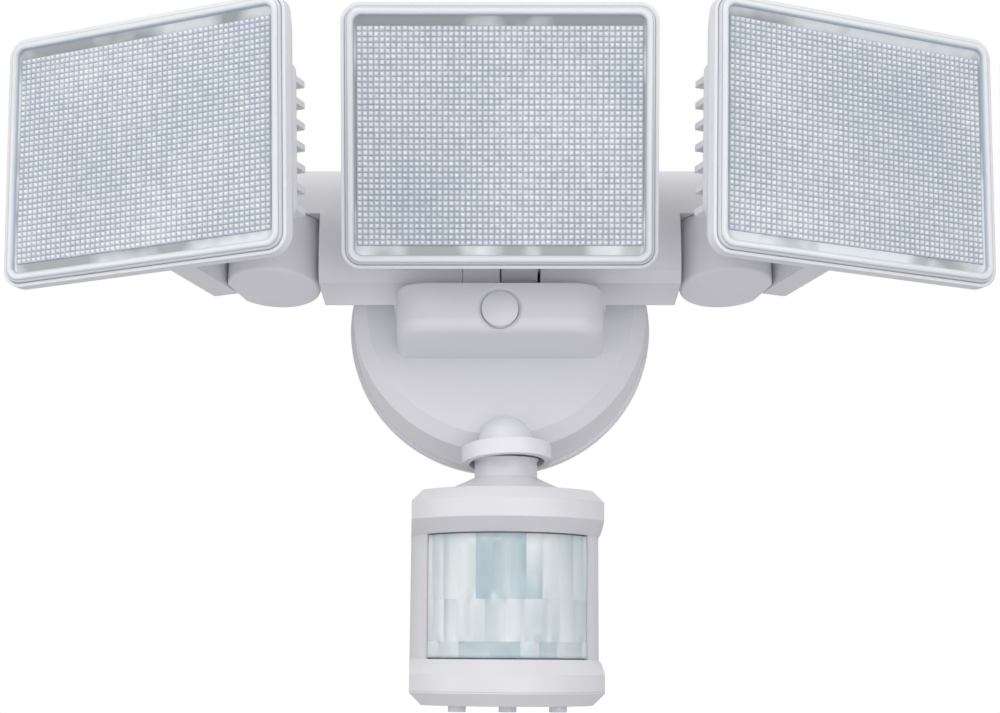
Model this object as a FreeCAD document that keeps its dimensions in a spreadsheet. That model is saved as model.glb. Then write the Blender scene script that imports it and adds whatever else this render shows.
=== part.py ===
import FreeCAD, Part
import math
import os
import re
import Sketcher

# Three-head motion sensor security light for an outside wall.
# Millimetres.  X runs along the arm, +Y goes into the wall, +Z is up.
# The origin is the centre of the round canopy on the face of the wall.

Vector = FreeCAD.Vector
Rotation = FreeCAD.Rotation
Placement = FreeCAD.Placement

doc = FreeCAD.newDocument("SecurityLight")
sheet = doc.addObject("Spreadsheet::Sheet", "sizes")

DRIVING = [
    ("run_gap", 0.3, "gap between faces that move past each other"),
    ("pin_gap", 0.06, "radial gap of a pin in its bore"),
    ("fit_gap", 0.15, "gap round a piece that is dropped into its seat"),
    # canopy
    ("gasket_thick", 2.0, "foam gasket"),
    ("gasket_radius", 60.0, ""),
    ("gasket_bore", 52.4, ""),
    ("plate_radius", 61.0, "flange of the canopy"),
    ("flange_thick", 3.0, ""),
    ("dish_root_radius", 59.3, "side wall of the dish at the flange"),
    ("dish_top_radius", 58.0, "side wall of the dish at the bevel"),
    ("dish_face_radius", 52.2, "flat front face"),
    ("dish_depth", 34.0, "wall to front face"),
    ("dish_bevel", 4.4, "height of the bevel round the face"),
    ("dish_wall", 2.6, ""),
    # wall strap and centre bolt
    ("strap_half_length", 49.0, ""),
    ("strap_top", 9.0, ""),
    ("strap_bottom", 21.0, ""),
    ("strap_thick", 2.4, ""),
    ("strap_corner", 5.0, ""),
    ("slot_spacing", 85.0, "between the slot centres"),
    ("slot_length", 14.0, "end to end"),
    ("slot_width", 5.0, ""),
    ("hub_radius", 8.0, ""),
    ("hub_height", 7.0, ""),
    ("bolt_drop", 13.2, "centre bolt below the canopy's centre"),
    ("bolt_radius", 3.0, ""),
    ("bolt_head_radius", 5.6, ""),
    ("bolt_head_height", 3.6, ""),
    ("bolt_end", 1.0, "tip of the bolt from the wall"),
    ("bolt_seat", 60.0, "under the bolt's head, from the wall"),
    ("plug_radius", 7.0, ""),
    ("plug_depth", 4.0, ""),
    ("plug_crown", 0.9, "how far the plug stands proud"),
    ("plug_well", 5.0, "depth of the well that the plug sits in"),
    ("plug_bevel", 1.3, "bevel round the well"),
    # wiring box under the arm
    ("box_half_width", 40.2, "at the canopy"),
    ("box_draft", 3.2, "degrees, slant of the box's sides"),
    ("box_front", 70.0, "from the wall"),
    ("box_bottom", 21.5, "below the canopy's centre"),
    ("box_top", 3.2, "below the canopy's centre"),
    ("box_corner", 12.0, ""),
    ("box_edge", 5.0, ""),
    # arm
    ("arm_half", 68.8, "half length of the arm's body"),
    ("arm_bottom", 8.0, "below the canopy's centre"),
    ("arm_rear_bottom", 0.5, "back edge of the underside, beside the wiring box"),
    ("arm_facet_front", 58.2, "lower facet, from the wall"),
    ("arm_facet_top", 0.8, ""),
    ("arm_crease_front", 60.4, ""),
    ("arm_crease_height", 5.2, ""),
    ("arm_top_front", 40.0, ""),
    ("arm_top", 54.6, ""),
    ("arm_curve", 40.0, "radius of the arm's front"),
    ("arm_end_cut", 3.4, "slant at the lower ends"),
    ("ear_bottom", 28.0, "underside of the ears"),
    ("ear_radius", 16.0, ""),
    ("ear_floor", 4.0, ""),
    ("cave_top", 40.0, ""),
    ("cave_floor", 7.0, ""),
    ("end_wall", 8.8, "wall between a hollow and the arm's end"),
    ("cave_half", "=arm_half - end_wall", ""),
    ("cave_depth", 19.0, ""),
    ("cave_inner", 19.0, "centre line to each hollow"),
    ("driver_left", 23.0, "driver board, from the centre line"),
    ("driver_gap", 3.0, "between the board's end and its hollow"),
    ("driver_right", "=cave_half - driver_gap", ""),
    ("driver_bottom", 9.5, ""),
    ("driver_top", 37.0, ""),
    ("driver_rise", 3.0, "height of the posts under the board"),
    ("driver_inset", 4.0, "posts in from the board's corners"),
    ("cover_thick", 2.0, ""),
    ("cover_edge", 4.4, "rim of the arm round its cover"),
    ("notch_left", 14.3, ""),
    ("notch_right", 15.3, ""),
    ("notch_floor", 2.0, "below the canopy's centre"),
    ("notch_top", 37.0, ""),
    ("notch_back", 37.6, "from the wall"),
    ("screw_radius", 1.5, ""),
    ("screw_head_radius", 2.8, ""),
    ("screw_head_height", 1.8, ""),
    ("screw_length", 9.0, ""),
    ("canopy_screw_across", 30.0, "screws from inside the canopy"),
    ("arm_screw_drop", 5.5, ""),
    ("box_screw_drop", 15.0, ""),
    # side knuckles
    ("pan_beyond", 18.2, "pan axis past the end of the arm's body"),
    ("pan_across", "=arm_half + pan_beyond", "pan axis from the centre line"),
    ("pan_out", 48.0, "pan axis from the wall"),
    ("pan_height", 12.0, "tilt axis of the side heads above the canopy's centre"),
    ("knuckle_radius", 17.8, ""),
    ("foot_back", 12.0, "underside of the knuckle below the tilt axis"),
    ("foot_front", 8.3, ""),
    ("foot_edge", 1.4, ""),
    ("knuckle_face", 16.2, "pan axis to the face that the lug turns on"),
    ("spigot_radius", 7.0, ""),
    ("spigot_neck", 4.5, "thread above the spigot"),
    ("pan_ring_radius", 9.0, ""),
    ("pan_ring_thick", 1.6, ""),
    ("pan_nut_radius", 7.2, "across the corners"),
    ("pan_nut_height", 4.0, ""),
    ("knuckle_nut_seat", 5.0, "pan axis to the tilt bolt's nut"),
    # heads
    ("lens_width", 110.4, ""),
    ("lens_height", 91.6, ""),
    ("lens_corner", 5.5, ""),
    ("lens_thick", 4.6, ""),
    ("lens_rim", 3.6, "width of the raised rim"),
    ("lens_step", 1.5, "height of the raised rim"),
    ("lens_proud", 2.2, "glass that stands in front of the housing"),
    ("gasket_seal", 0.9, "thickness of the glass seal"),
    ("seal_width", 3.4, ""),
    ("head_lip", 1.5, "housing wall outside the glass"),
    ("head_rim_bend", 6.5, "where the rim starts to draw in"),
    ("head_rim_back", 14.0, "back of the housing's rim"),
    ("head_taper", 3.2, "how far the rim draws in"),
    ("bowl_depth", 12.0, "floor of the housing, behind the glass face"),
    ("sink_half_width", 51.0, ""),
    ("sink_half_height", 30.0, ""),
    ("sink_back", 22.0, "back of the solid core"),
    ("fin_back", 33.0, ""),
    ("fin_thick", 2.4, ""),
    ("fin_pitch", 8.1, ""),
    ("fin_count", 7, ""),
    ("fin_half_width", 48.8, ""),
    ("fin_front", 16.5, ""),
    ("board_thick", 1.6, ""),
    ("reflector_wall", 1.2, ""),
    ("reflector_slope", 5.0, ""),
    ("floor_inset", "=seal_width + fit_gap + reflector_wall + reflector_slope",
     "edge of the reflector's floor, in from the glass's edge"),
    ("board_side", 1.45, "board's sides in from the reflector's floor"),
    ("board_end", 2.05, "board's upper and lower edges in from it"),
    ("board_half_width", "=lens_width / 2 - floor_inset - board_side", ""),
    ("board_half_height", "=lens_height / 2 - floor_inset - board_end", ""),
    ("board_screw", 1.2, "radius"),
    ("board_screw_inset", 8.5, "in from the reflector's floor edge"),
    ("board_screw_length", 6.0, ""),
    ("led_size", 3.0, ""),
    ("led_height", 0.8, ""),
    ("led_pitch", 12.0, ""),
    ("led_columns", 6, ""),
    ("led_rows", 4, ""),
    ("lug_radius", 9.2, "round end of the side heads' lugs"),
    ("lug_width", 10.5, ""),
    ("lug_root_top", 2.0, ""),
    ("lug_root_bottom", 34.0, ""),
    ("side_offset", 15.3, "centre of a side glass from the pan axis"),
    ("side_reach", 74.4, "glass in front of the tilt axis"),
    ("side_rise", 29.5, "middle of the glass above the tilt axis"),
    ("side_yaw", 20.0, "degrees"),
    ("side_tilt", 5.4, "degrees"),
    ("tilt_bolt", 3.0, "radius"),
    ("tilt_head", 5.0, "radius"),
    ("tilt_head_height", 3.0, ""),
    ("tilt_nut", 5.6, "across the corners, radius"),
    ("tilt_nut_height", 4.6, ""),
    # centre head
    ("center_reach", 50.7, "glass in front of the tilt axis"),
    ("center_rise", 47.7, "middle of the glass above the tilt axis"),
    ("center_tilt", 20.0, "degrees"),
    ("center_axis_out", 49.0, "tilt axis from the wall"),
    ("center_axis_height", 9.5, ""),
    ("center_lug_radius", 10.8, ""),
    ("center_lug_left", 0.5, ""),
    ("center_lug_right", 14.2, ""),
    ("center_root_top", 14.0, ""),
    ("center_root_bottom", 27.0, ""),
    ("hinge_block_right", 0.0, ""),
    # sensor
    ("socket_turn", 2.3, "degrees, lean of the socket"),
    ("socket_out", 38.0, "swivel axis from the wall"),
    ("ball_drop", 57.0, "ball below the canopy's centre"),
    ("ball_radius", 6.0, ""),
    ("ball_stem", 3.6, ""),
    ("seat_radius", 8.6, "cup that pans in the socket"),
    ("seat_nose", 7.3, "lower rim of the cup"),
    ("seat_bottom", 3.0, "below the ball's centre"),
    ("seat_ring_thick", 1.4, ""),
    ("dome_radius", 10.6, ""),
    ("collar_radius", 17.0, ""),
    ("collar_bore", 14.3, ""),
    ("collar_bottom", 7.6, "below the ball's centre"),
    ("collar_roof", 1.2, "below the ball's centre"),
    ("collar_height", 6.2, ""),
    ("neck_radius", 11.9, ""),
    ("neck_skirt", 13.9, "ball shaped top of the neck"),
    ("neck_top", 5.9, "below the ball's centre"),
    ("neck_bottom", 13.2, ""),
    ("cone_radius", 23.6, ""),
    ("cone_bottom", 18.6, ""),
    ("stub_radius", 5.2, "thread through the top of the sensor"),
    ("stub_nut", 8.2, "across the corners, radius"),
    ("stub_nut_height", 4.0, ""),
    ("sensor_top", 19.3, "top of the sensor below the ball"),
    ("sensor_half_width", 35.5, ""),
    ("sensor_front", 38.0, "front of the sensor from the swivel axis"),
    ("sensor_back", 14.0, ""),
    ("sensor_curve", 41.0, "radius of the curved front"),
    ("sensor_corner", 7.0, ""),
    ("brow_top", 23.5, ""),
    ("brow_bottom", 30.4, ""),
    ("window_top", 35.5, ""),
    ("window_bottom", 80.8, ""),
    ("ledge_top", 86.2, ""),
    ("lip_bottom", 92.3, ""),
    ("base_bottom", 97.2, ""),
    ("recess", 6.0, ""),
    ("recess_angle", 180.0, "degrees across the recess"),
    ("window_angle", 117.0, "degrees across the window"),
    ("lens_skin", 0.9, "thickness of the segmented lens"),
    ("lens_overlap", 2.0, "how far the lens's flange reaches behind the wall"),
    ("flange_angle", 2.0, "degrees, the same at the flange's ends"),
    ("cavity_half_width", 32.0, ""),
    ("boss_across", 27.6, "screws of the sensor's base"),
    ("boss_back", 1.0, ""),
    ("boss_radius", 4.8, ""),
    ("base_screw_depth", 3.0, "how deep the base's screw heads sit"),
    ("control_height", 8.3, "control board above the base"),
    ("control_half_width", 22.0, ""),
    ("control_curve", 31.5, ""),
    ("control_back", 8.0, ""),
    ("post_across", 14.0, ""),
    ("post_back", 5.0, ""),
    ("post_radius", 2.7, ""),
    ("detector_half_width", 17.0, ""),
    ("detector_top", 36.0, "top of the detector board below the ball"),
    ("detector_drop", 58.0, ""),
    ("detector_radius", 4.6, ""),
    ("detector_height", 4.2, ""),
    ("sensor_wall", 2.0, ""),
    ("sensor_yaw", 3.0, "degrees"),
    ("sensor_tilt", 7.0, "degrees"),
    ("knob_radius", 3.2, ""),
    ("knob_spacing", 18.2, ""),
    ("knob_forward", 20.0, ""),
    ("knob_proud", 2.2, ""),
    ("knob_stem", 1.6, "radius"),
    ("trimmer_radius", 3.2, ""),
    ("trimmer_height", 4.6, ""),
]

for row, (name, value, note) in enumerate(DRIVING, start=1):
    sheet.set("A%d" % row, name)
    sheet.set("B%d" % row, str(value))
    sheet.setAlias("B%d" % row, name)
    sheet.set("C%d" % row, note)
doc.recompute()

NAMES = re.compile(r"\b(%s)\b" % "|".join(name for name, value, note in DRIVING))


def bound(text):
    """An expression on the sheet's cells, as another object reads it."""
    return NAMES.sub(r"sizes.\1", text)


def size(text):
    """The present value of an expression on the sheet's cells."""
    return float(sheet.evalExpression(text))


# Sketches and features ------------------------------------------------------

pieces = []


def body_named(name):
    """A new body, which becomes one piece of the light."""
    body = doc.addObject("PartDesign::Body", name)
    body.Label = name
    pieces.append(body)
    return body


def sketch_on(body, plane, offset="0", turn="0", shift="0"):
    """A sketch on one of the body's own planes, moved out along the normal,
    turned about it, and shifted along its own first axis."""
    sketch = body.newObject("Sketcher::SketchObject", body.Name + "_sketch")
    support = [item for item in body.Origin.OriginFeatures if item.Role == plane + "_Plane"]
    sketch.AttachmentSupport = [(support[0], "")]
    sketch.MapMode = "FlatFace"
    place = Placement(Vector(size(shift), 0, size(offset)), Rotation(Vector(0, 0, 1), size(turn)))
    sketch.AttachmentOffset = place
    if shift != "0":
        sketch.setExpression("AttachmentOffset.Base.x", bound(shift))
    if offset != "0":
        sketch.setExpression("AttachmentOffset.Base.z", bound(offset))
    if turn != "0":
        sketch.setExpression("AttachmentOffset.Rotation.Angle", bound(turn))
    return sketch


def tie(sketch, kind, geometry, point, text):
    """Hold a point at a distance from the sketch's origin."""
    number = sketch.addConstraint(
        Sketcher.Constraint(kind, -1, 1, geometry, point, size(text)))
    sketch.setExpression("Constraints[%d]" % number, bound(text))


def tie_radius(sketch, geometry, text):
    number = sketch.addConstraint(Sketcher.Constraint("Radius", geometry, size(text)))
    sketch.setExpression("Constraints[%d]" % number, bound(text))


def arc_between(start, end, radius, turn):
    """The short arc from start to end, centre on the left when turn is +1."""
    chord = end - start
    across = Vector(-chord.y, chord.x, 0).normalize()
    rise = math.sqrt(max(radius ** 2 - chord.Length ** 2 / 4, 0))
    center = (start + end) / 2 + across * rise * turn
    first, last = (start, end) if turn > 0 else (end, start)
    angle_a = math.atan2(first.y - center.y, first.x - center.x)
    angle_b = math.atan2(last.y - center.y, last.x - center.x)
    circle = Part.Circle(center, Vector(0, 0, 1), radius)
    return Part.ArcOfCircle(circle, angle_a, angle_b)


def outline(sketch, corners):
    """A closed outline.  A corner is (u, v), or (u, v, radius, turn) where an
    arc of that radius leads on to the next corner."""
    first = sketch.GeometryCount
    points = [Vector(size(corner[0]), size(corner[1]), 0) for corner in corners]
    ends = []
    for index, corner in enumerate(corners):
        start, end = points[index], points[(index + 1) % len(points)]
        if len(corner) == 2:
            sketch.addGeometry(Part.LineSegment(start, end), False)
            ends.append((1, 2))
        else:
            turn = corner[3]
            sketch.addGeometry(arc_between(start, end, size(corner[2]), turn), False)
            ends.append((1, 2) if turn > 0 else (2, 1))
    for index, corner in enumerate(corners):
        after = (index + 1) % len(corners)
        sketch.addConstraint(Sketcher.Constraint(
            "Coincident", first + index, ends[index][1], first + after, ends[after][0]))
        tie(sketch, "DistanceX", first + index, ends[index][0], corner[0])
        tie(sketch, "DistanceY", first + index, ends[index][0], corner[1])
        if len(corner) > 2:
            tie_radius(sketch, first + index, corner[2])


def circle(sketch, across, height, radius):
    number = sketch.addGeometry(
        Part.Circle(Vector(size(across), size(height), 0), Vector(0, 0, 1), size(radius)), False)
    tie(sketch, "DistanceX", number, 3, across)
    tie(sketch, "DistanceY", number, 3, height)
    tie_radius(sketch, number, radius)


def rounded_box(sketch, left, right, bottom, top, corner):
    """A rectangle with four round corners."""
    outline(sketch, [
        ("(%s) + (%s)" % (left, corner), bottom),
        ("(%s) - (%s)" % (right, corner), bottom, corner, 1),
        (right, "(%s) + (%s)" % (bottom, corner)),
        (right, "(%s) - (%s)" % (top, corner), corner, 1),
        ("(%s) - (%s)" % (right, corner), top),
        ("(%s) + (%s)" % (left, corner), top, corner, 1),
        (left, "(%s) - (%s)" % (top, corner)),
        (left, "(%s) + (%s)" % (bottom, corner), corner, 1)])


def plain_box(sketch, left, right, bottom, top):
    outline(sketch, [(left, bottom), (right, bottom), (right, top), (left, top)])


def feature(body, kind, sketch, **settings):
    """A sketch-based feature.  Text settings are expressions on the sheet."""
    made = body.newObject("PartDesign::" + kind, body.Name + "_" + kind)
    made.Profile = sketch
    for name, value in settings.items():
        if isinstance(value, str) and name in ("Length", "Length2", "Angle"):
            made.setExpression(name, bound(value))
        else:
            setattr(made, name, value)
    sketch.Visibility = False
    return made


def pad(body, sketch, length, **settings):
    return feature(body, "Pad", sketch, Length=length, **settings)


def pocket(body, sketch, length, **settings):
    return feature(body, "Pocket", sketch, Length=length, **settings)


def lathe(body, sketch, kind="Revolution", angle="360", **settings):
    """Turn a profile round the sketch's own vertical axis."""
    made = feature(body, kind, sketch, Angle=angle, **settings)
    made.ReferenceAxis = (sketch, ["V_Axis"])
    return made


def edges_where(body, test):
    """Names of the edges of the body so far whose corners all pass the test."""
    doc.recompute()
    found = []
    for number, edge in enumerate(body.Tip.Shape.Edges, start=1):
        spots = [vertex.Point for vertex in edge.Vertexes] + [edge.valueAt(
            (edge.FirstParameter + edge.LastParameter) / 2)]
        if all(test(spot) for spot in spots):
            found.append("Edge%d" % number)
    return found


def round_off(body, radius, test):
    base = body.Tip
    names = edges_where(body, test)
    made = body.newObject("PartDesign::Fillet", body.Name + "_round")
    made.Base = (base, names)
    made.setExpression("Radius", bound(radius))
    return made


def bevel(body, length, test):
    base = body.Tip
    names = edges_where(body, test)
    made = body.newObject("PartDesign::Chamfer", body.Name + "_bevel")
    made.Base = (base, names)
    made.setExpression("Size", bound(length))
    return made


def near(a, b, slack=0.05):
    return abs(a - b) < slack


# Canopy, wall strap and centre bolt -----------------------------------------

def build_wall_gasket():
    body = body_named("wall_gasket")
    ring = sketch_on(body, "XZ")
    circle(ring, "0", "0", "gasket_radius")
    circle(ring, "0", "0", "gasket_bore")
    pad(body, ring, "gasket_thick")


def build_canopy():
    """Round dish with a flange, and the socket that the sensor hangs from."""
    body = body_named("canopy")
    dish = sketch_on(body, "XY")
    outline(dish, [
        ("0", "-dish_depth"),
        ("dish_face_radius", "-dish_depth"),
        ("dish_top_radius", "-dish_depth + dish_bevel"),
        ("dish_root_radius", "-gasket_thick - flange_thick"),
        ("plate_radius", "-gasket_thick - flange_thick"),
        ("plate_radius", "-gasket_thick"),
        ("dish_root_radius - dish_wall", "-gasket_thick"),
        ("dish_top_radius - dish_wall", "-dish_depth + dish_bevel"),
        ("dish_face_radius - dish_wall / 2", "-dish_depth + dish_wall"),
        ("0", "-dish_depth + dish_wall")])
    lathe(body, dish)
    socket = sketch_on(body, "XZ", "socket_out", "socket_turn")
    low = "-ball_drop - collar_bottom"
    outline(socket, [
        ("0", low),
        ("collar_radius", low),
        ("collar_radius", low + " + collar_height"),
        ("dome_radius", "-ball_drop", "dome_radius", 1),
        ("0", "-ball_drop + dome_radius")])
    lathe(body, socket)
    bore = sketch_on(body, "XZ", "socket_out", "socket_turn")
    outline(bore, [
        ("0", low + " - 1"),
        ("collar_bore", low + " - 1"),
        ("collar_bore", "-ball_drop - collar_roof"),
        ("seat_radius + run_gap", "-ball_drop - collar_roof"),
        ("seat_radius + run_gap", "-ball_drop", "seat_radius + run_gap", 1),
        ("0", "-ball_drop + seat_radius + run_gap")])
    lathe(body, bore, "Groove")
    holes = sketch_on(body, "XZ", "dish_depth + 1")
    circle(holes, "0", "-bolt_drop", "bolt_radius + 2 * fit_gap")
    for side in ("-", ""):
        circle(holes, side + "canopy_screw_across", "-arm_screw_drop", "screw_radius + fit_gap")
        circle(holes, side + "canopy_screw_across", "-box_screw_drop", "screw_radius + fit_gap")
    pocket(body, holes, "dish_wall + 2")


def build_strap():
    """Flat wall strap: two slots for a junction box and a threaded hub."""
    body = body_named("mounting_crossbar")
    plate = sketch_on(body, "XZ")
    rounded_box(plate, "-strap_half_length", "strap_half_length",
                "-strap_bottom", "strap_top", "strap_corner")
    pad(body, plate, "strap_thick")
    hub = sketch_on(body, "XZ")
    circle(hub, "0", "-bolt_drop", "hub_radius")
    pad(body, hub, "hub_height")
    for side in ("-", ""):
        middle = side + "slot_spacing / 2"
        reach = "(slot_length - slot_width) / 2"
        slot = sketch_on(body, "XZ", "strap_thick + 1")
        plain_box(slot, middle + " - " + reach, middle + " + " + reach,
                  "-slot_width / 2", "slot_width / 2")
        pocket(body, slot, "strap_thick + 2")
        ends = sketch_on(body, "XZ", "strap_thick + 1")
        circle(ends, middle + " - " + reach, "0", "slot_width / 2")
        circle(ends, middle + " + " + reach, "0", "slot_width / 2")
        pocket(body, ends, "strap_thick + 2")
    thread = sketch_on(body, "XZ", "hub_height + 1")
    circle(thread, "0", "-bolt_drop", "bolt_radius + pin_gap")
    pocket(body, thread, "hub_height + 2")


def build_bolt():
    body = body_named("mounting_bolt")
    turned = sketch_on(body, "XY", "-bolt_drop")
    front = "-bolt_seat - bolt_head_height"
    outline(turned, [
        ("0", "-bolt_end"),
        ("bolt_radius", "-bolt_end"),
        ("bolt_radius", "-bolt_seat"),
        ("bolt_head_radius", "-bolt_seat"),
        ("bolt_head_radius", front + " + bolt_head_height / 4"),
        ("bolt_head_radius * 0.8", front),
        ("bolt_head_radius * 0.45", front),
        ("bolt_head_radius * 0.45", front + " + bolt_head_height / 2"),
        ("0", front + " + bolt_head_height / 2")])
    lathe(body, turned)


def build_plug():
    """Domed cap over the centre bolt."""
    body = body_named("bolt_plug")
    turned = sketch_on(body, "XY", "-bolt_drop")
    outline(turned, [
        ("0", "-box_front + plug_depth"),
        ("plug_radius - fit_gap", "-box_front + plug_depth"),
        ("plug_radius - fit_gap", "-box_front",
         "(plug_radius ^ 2 + plug_crown ^ 2) / (2 * plug_crown)", -1),
        ("0", "-box_front - plug_crown")])
    lathe(body, turned)


def build_wiring_box():
    """Box on the canopy's face, under the arm, that the centre bolt pulls in."""
    body = body_named("wiring_box")
    plan = sketch_on(body, "XY", "-box_bottom")
    front_half = "(box_half_width - (box_front - dish_depth) * tan(box_draft))"
    corner = "box_corner * tan(45 - box_draft / 2)"
    bend = front_half + " + " + corner + " * sin(box_draft)"
    rear = "-box_front + " + corner + " * cos(box_draft)"
    outline(plan, [
        ("-box_half_width", "-dish_depth"),
        ("-(%s)" % bend, rear, "box_corner", 1),
        ("-(%s - %s)" % (front_half, corner), "-box_front"),
        ("%s - %s" % (front_half, corner), "-box_front", "box_corner", 1),
        (bend, rear),
        ("box_half_width", "-dish_depth")])
    pad(body, plan, "box_bottom - box_top")
    under = sketch_on(body, "YZ")
    plain_box(under, "-arm_facet_front", "-dish_depth + 1", "-arm_bottom", "1")
    pocket(body, under, "2 * box_half_width + 2", Midplane=True)
    floor, back = -size("box_bottom"), -size("dish_depth")
    round_off(body, "box_edge", lambda spot: near(spot.z, floor) and spot.y < back + 0.01
              and not near(spot.y, back))
    well = sketch_on(body, "XZ", "box_front")
    circle(well, "0", "-bolt_drop", "plug_radius")
    pocket(body, well, "plug_well")
    head = sketch_on(body, "XZ", "box_front")
    circle(head, "0", "-bolt_drop", "bolt_head_radius + 3 * fit_gap")
    pocket(body, head, "box_front - bolt_seat")
    shank = sketch_on(body, "XZ", "box_front")
    circle(shank, "0", "-bolt_drop", "bolt_radius + 2 * fit_gap")
    pocket(body, shank, "box_front - dish_depth + 1")
    pilot = sketch_on(body, "XZ", "dish_depth + screw_length - dish_wall")
    for side in ("-", ""):
        circle(pilot, side + "canopy_screw_across", "-box_screw_drop", "screw_radius + pin_gap")
    pocket(body, pilot, "screw_length")
    front = -size("box_front")
    reach = size("plug_radius") + 0.1
    drop = -size("bolt_drop")
    bevel(body, "plug_bevel", lambda spot: near(spot.y, front)
          and math.hypot(spot.x, spot.z - drop) < reach)


# Arm, its cover and the hinge block of the centre head ----------------------

def arm_section():
    """The arm's section: lower facet, crease, curved front and flat back."""
    return [
        ("-dish_depth", "-arm_bottom"),
        ("-dish_depth", "arm_top"),
        ("-arm_top_front", "arm_top", "arm_curve", 1),
        ("-arm_crease_front", "arm_crease_height"),
        ("-arm_facet_front", "arm_facet_top"),
        ("-arm_facet_front", "-arm_bottom")]


def build_arm():
    body = body_named("arm_housing")
    section = sketch_on(body, "YZ")
    outline(section, arm_section())
    pad(body, section, "2 * arm_half", Midplane=True)
    ears = sketch_on(body, "XY", "ear_bottom")
    for side, turn in (("-", -1), ("", 1)):
        reach = "sqrt(ear_radius ^ 2 - (pan_out - dish_depth) ^ 2)"
        outline(ears, [
            (side + "(arm_half - 1)", "-dish_depth"),
            (side + "(arm_half - 1)", "-pan_out - ear_radius"),
            (side + "pan_across", "-pan_out - ear_radius", "ear_radius", turn),
            (side + "(pan_across + ear_radius)", "-pan_out", "ear_radius", turn),
            (side + "(pan_across + %s)" % reach, "-dish_depth")])
    pad(body, ears, "arm_top - ear_bottom")
    shave = sketch_on(body, "YZ")
    outline(shave, [
        ("-arm_crease_front", "arm_crease_height", "arm_curve", -1),
        ("-arm_top_front", "arm_top"),
        ("-arm_top_front", "arm_top + 5"),
        ("-pan_out - ear_radius - 9", "arm_top + 5"),
        ("-pan_out - ear_radius - 9", "arm_crease_height")])
    pocket(body, shave, "2 * (pan_across + ear_radius) + 2", Midplane=True)
    slants = sketch_on(body, "XZ", "arm_facet_front + 1")
    for side in ("-", ""):
        outline(slants, [
            (side + "arm_half", "arm_facet_top"),
            (side + "(arm_half + 2)", "arm_facet_top"),
            (side + "(arm_half + 2)", "-arm_bottom - 1"),
            (side + "(arm_half - arm_end_cut)", "-arm_bottom - 1")])
    pocket(body, slants, "arm_facet_front - dish_depth + 2")
    for side, outwards in (("-", False), ("", True)):
        under = sketch_on(body, "YZ", side + "box_half_width")
        outline(under, [
            ("-arm_facet_front", "-arm_bottom"),
            ("-arm_facet_front", "-arm_bottom - 1"),
            ("-dish_depth + 1", "-arm_bottom - 1"),
            ("-dish_depth + 1", "arm_rear_bottom"),
            ("-dish_depth", "arm_rear_bottom")])
        pocket(body, under, "arm_half - box_half_width + 2", Reversed=outwards)
    cut_arm_hollows(body)


def cut_arm_hollows(body):
    """Hollows for the driver and the pan pivots, and the centre hinge's notch."""
    notch = sketch_on(body, "XY", "-notch_floor")
    plain_box(notch, "-notch_left", "notch_right", "-arm_crease_front - 8", "-notch_back")
    pocket(body, notch, "notch_top + notch_floor", Reversed=True)
    seat = sketch_on(body, "XZ", "dish_depth")
    outline(seat, cover_edge_line("0"))
    pocket(body, seat, "cover_thick", Reversed=True)
    caves = sketch_on(body, "XZ", "dish_depth")
    for side in ("-", ""):
        plain_box(caves, side + "cave_half", side + "cave_inner", "cave_floor", "cave_top")
    pocket(body, caves, "cave_depth", Reversed=True)
    posts = sketch_on(body, "XZ", "dish_depth + cave_depth")
    driver_corners(posts, "post_radius")
    pad(body, posts, "driver_rise", Reversed=True)
    threads = sketch_on(body, "XZ", "dish_depth + cave_depth - driver_rise - 1")
    driver_corners(threads, "screw_radius + pin_gap")
    pocket(body, threads, "screw_length", Reversed=True)
    pivots = sketch_on(body, "XY", "ear_bottom - 1")
    for side in ("-", ""):
        circle(pivots, side + "pan_across", "-pan_out", "spigot_radius + pin_gap")
    pocket(body, pivots, "ear_floor + 2", Reversed=True)
    rings = sketch_on(body, "XY", "ear_bottom + ear_floor")
    for side in ("-", ""):
        plain_box(rings, side + "pan_across - pan_ring_radius - run_gap",
                  side + "pan_across + pan_ring_radius + run_gap",
                  "-pan_out", "-dish_depth + 1")
    pocket(body, rings, "pan_ring_thick + pan_nut_height + 2 * run_gap", Reversed=True)
    wells = sketch_on(body, "XY", "ear_bottom + ear_floor")
    for side in ("-", ""):
        circle(wells, side + "pan_across", "-pan_out", "pan_ring_radius + run_gap")
    pocket(body, wells, "pan_ring_thick + run_gap", Reversed=True)
    nuts = sketch_on(body, "XY", "ear_bottom + ear_floor")
    for side in ("-", ""):
        circle(nuts, side + "pan_across", "-pan_out", "pan_nut_radius + run_gap")
    pocket(body, nuts, "pan_ring_thick + pan_nut_height + 2 * run_gap", Reversed=True)
    pilots = sketch_on(body, "XZ", "dish_depth")
    for across, height in COVER_SCREWS:
        circle(pilots, across, height, "screw_radius + pin_gap")
    for side in ("-", ""):
        circle(pilots, side + "canopy_screw_across", "-arm_screw_drop", "screw_radius + pin_gap")
    pocket(body, pilots, "cover_thick + screw_length", Reversed=True)
    tilt = sketch_on(body, "YZ")
    circle(tilt, "-center_axis_out", "center_axis_height", "tilt_bolt + pin_gap")
    pocket(body, tilt, "2 * cave_inner + 2", Midplane=True)
    for side, back in (("-", False), ("", True)):
        well = sketch_on(body, "YZ", side + "cave_inner")
        circle(well, "-center_axis_out", "center_axis_height", "tilt_nut + 2 * run_gap")
        pocket(body, well, "tilt_nut_height + 2", Reversed=back)


def driver_corners(sketch, radius):
    for across in ("driver_left + driver_inset", "driver_right - driver_inset"):
        for height in ("driver_bottom + driver_inset", "driver_top - driver_inset"):
            circle(sketch, across, height, radius)


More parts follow.
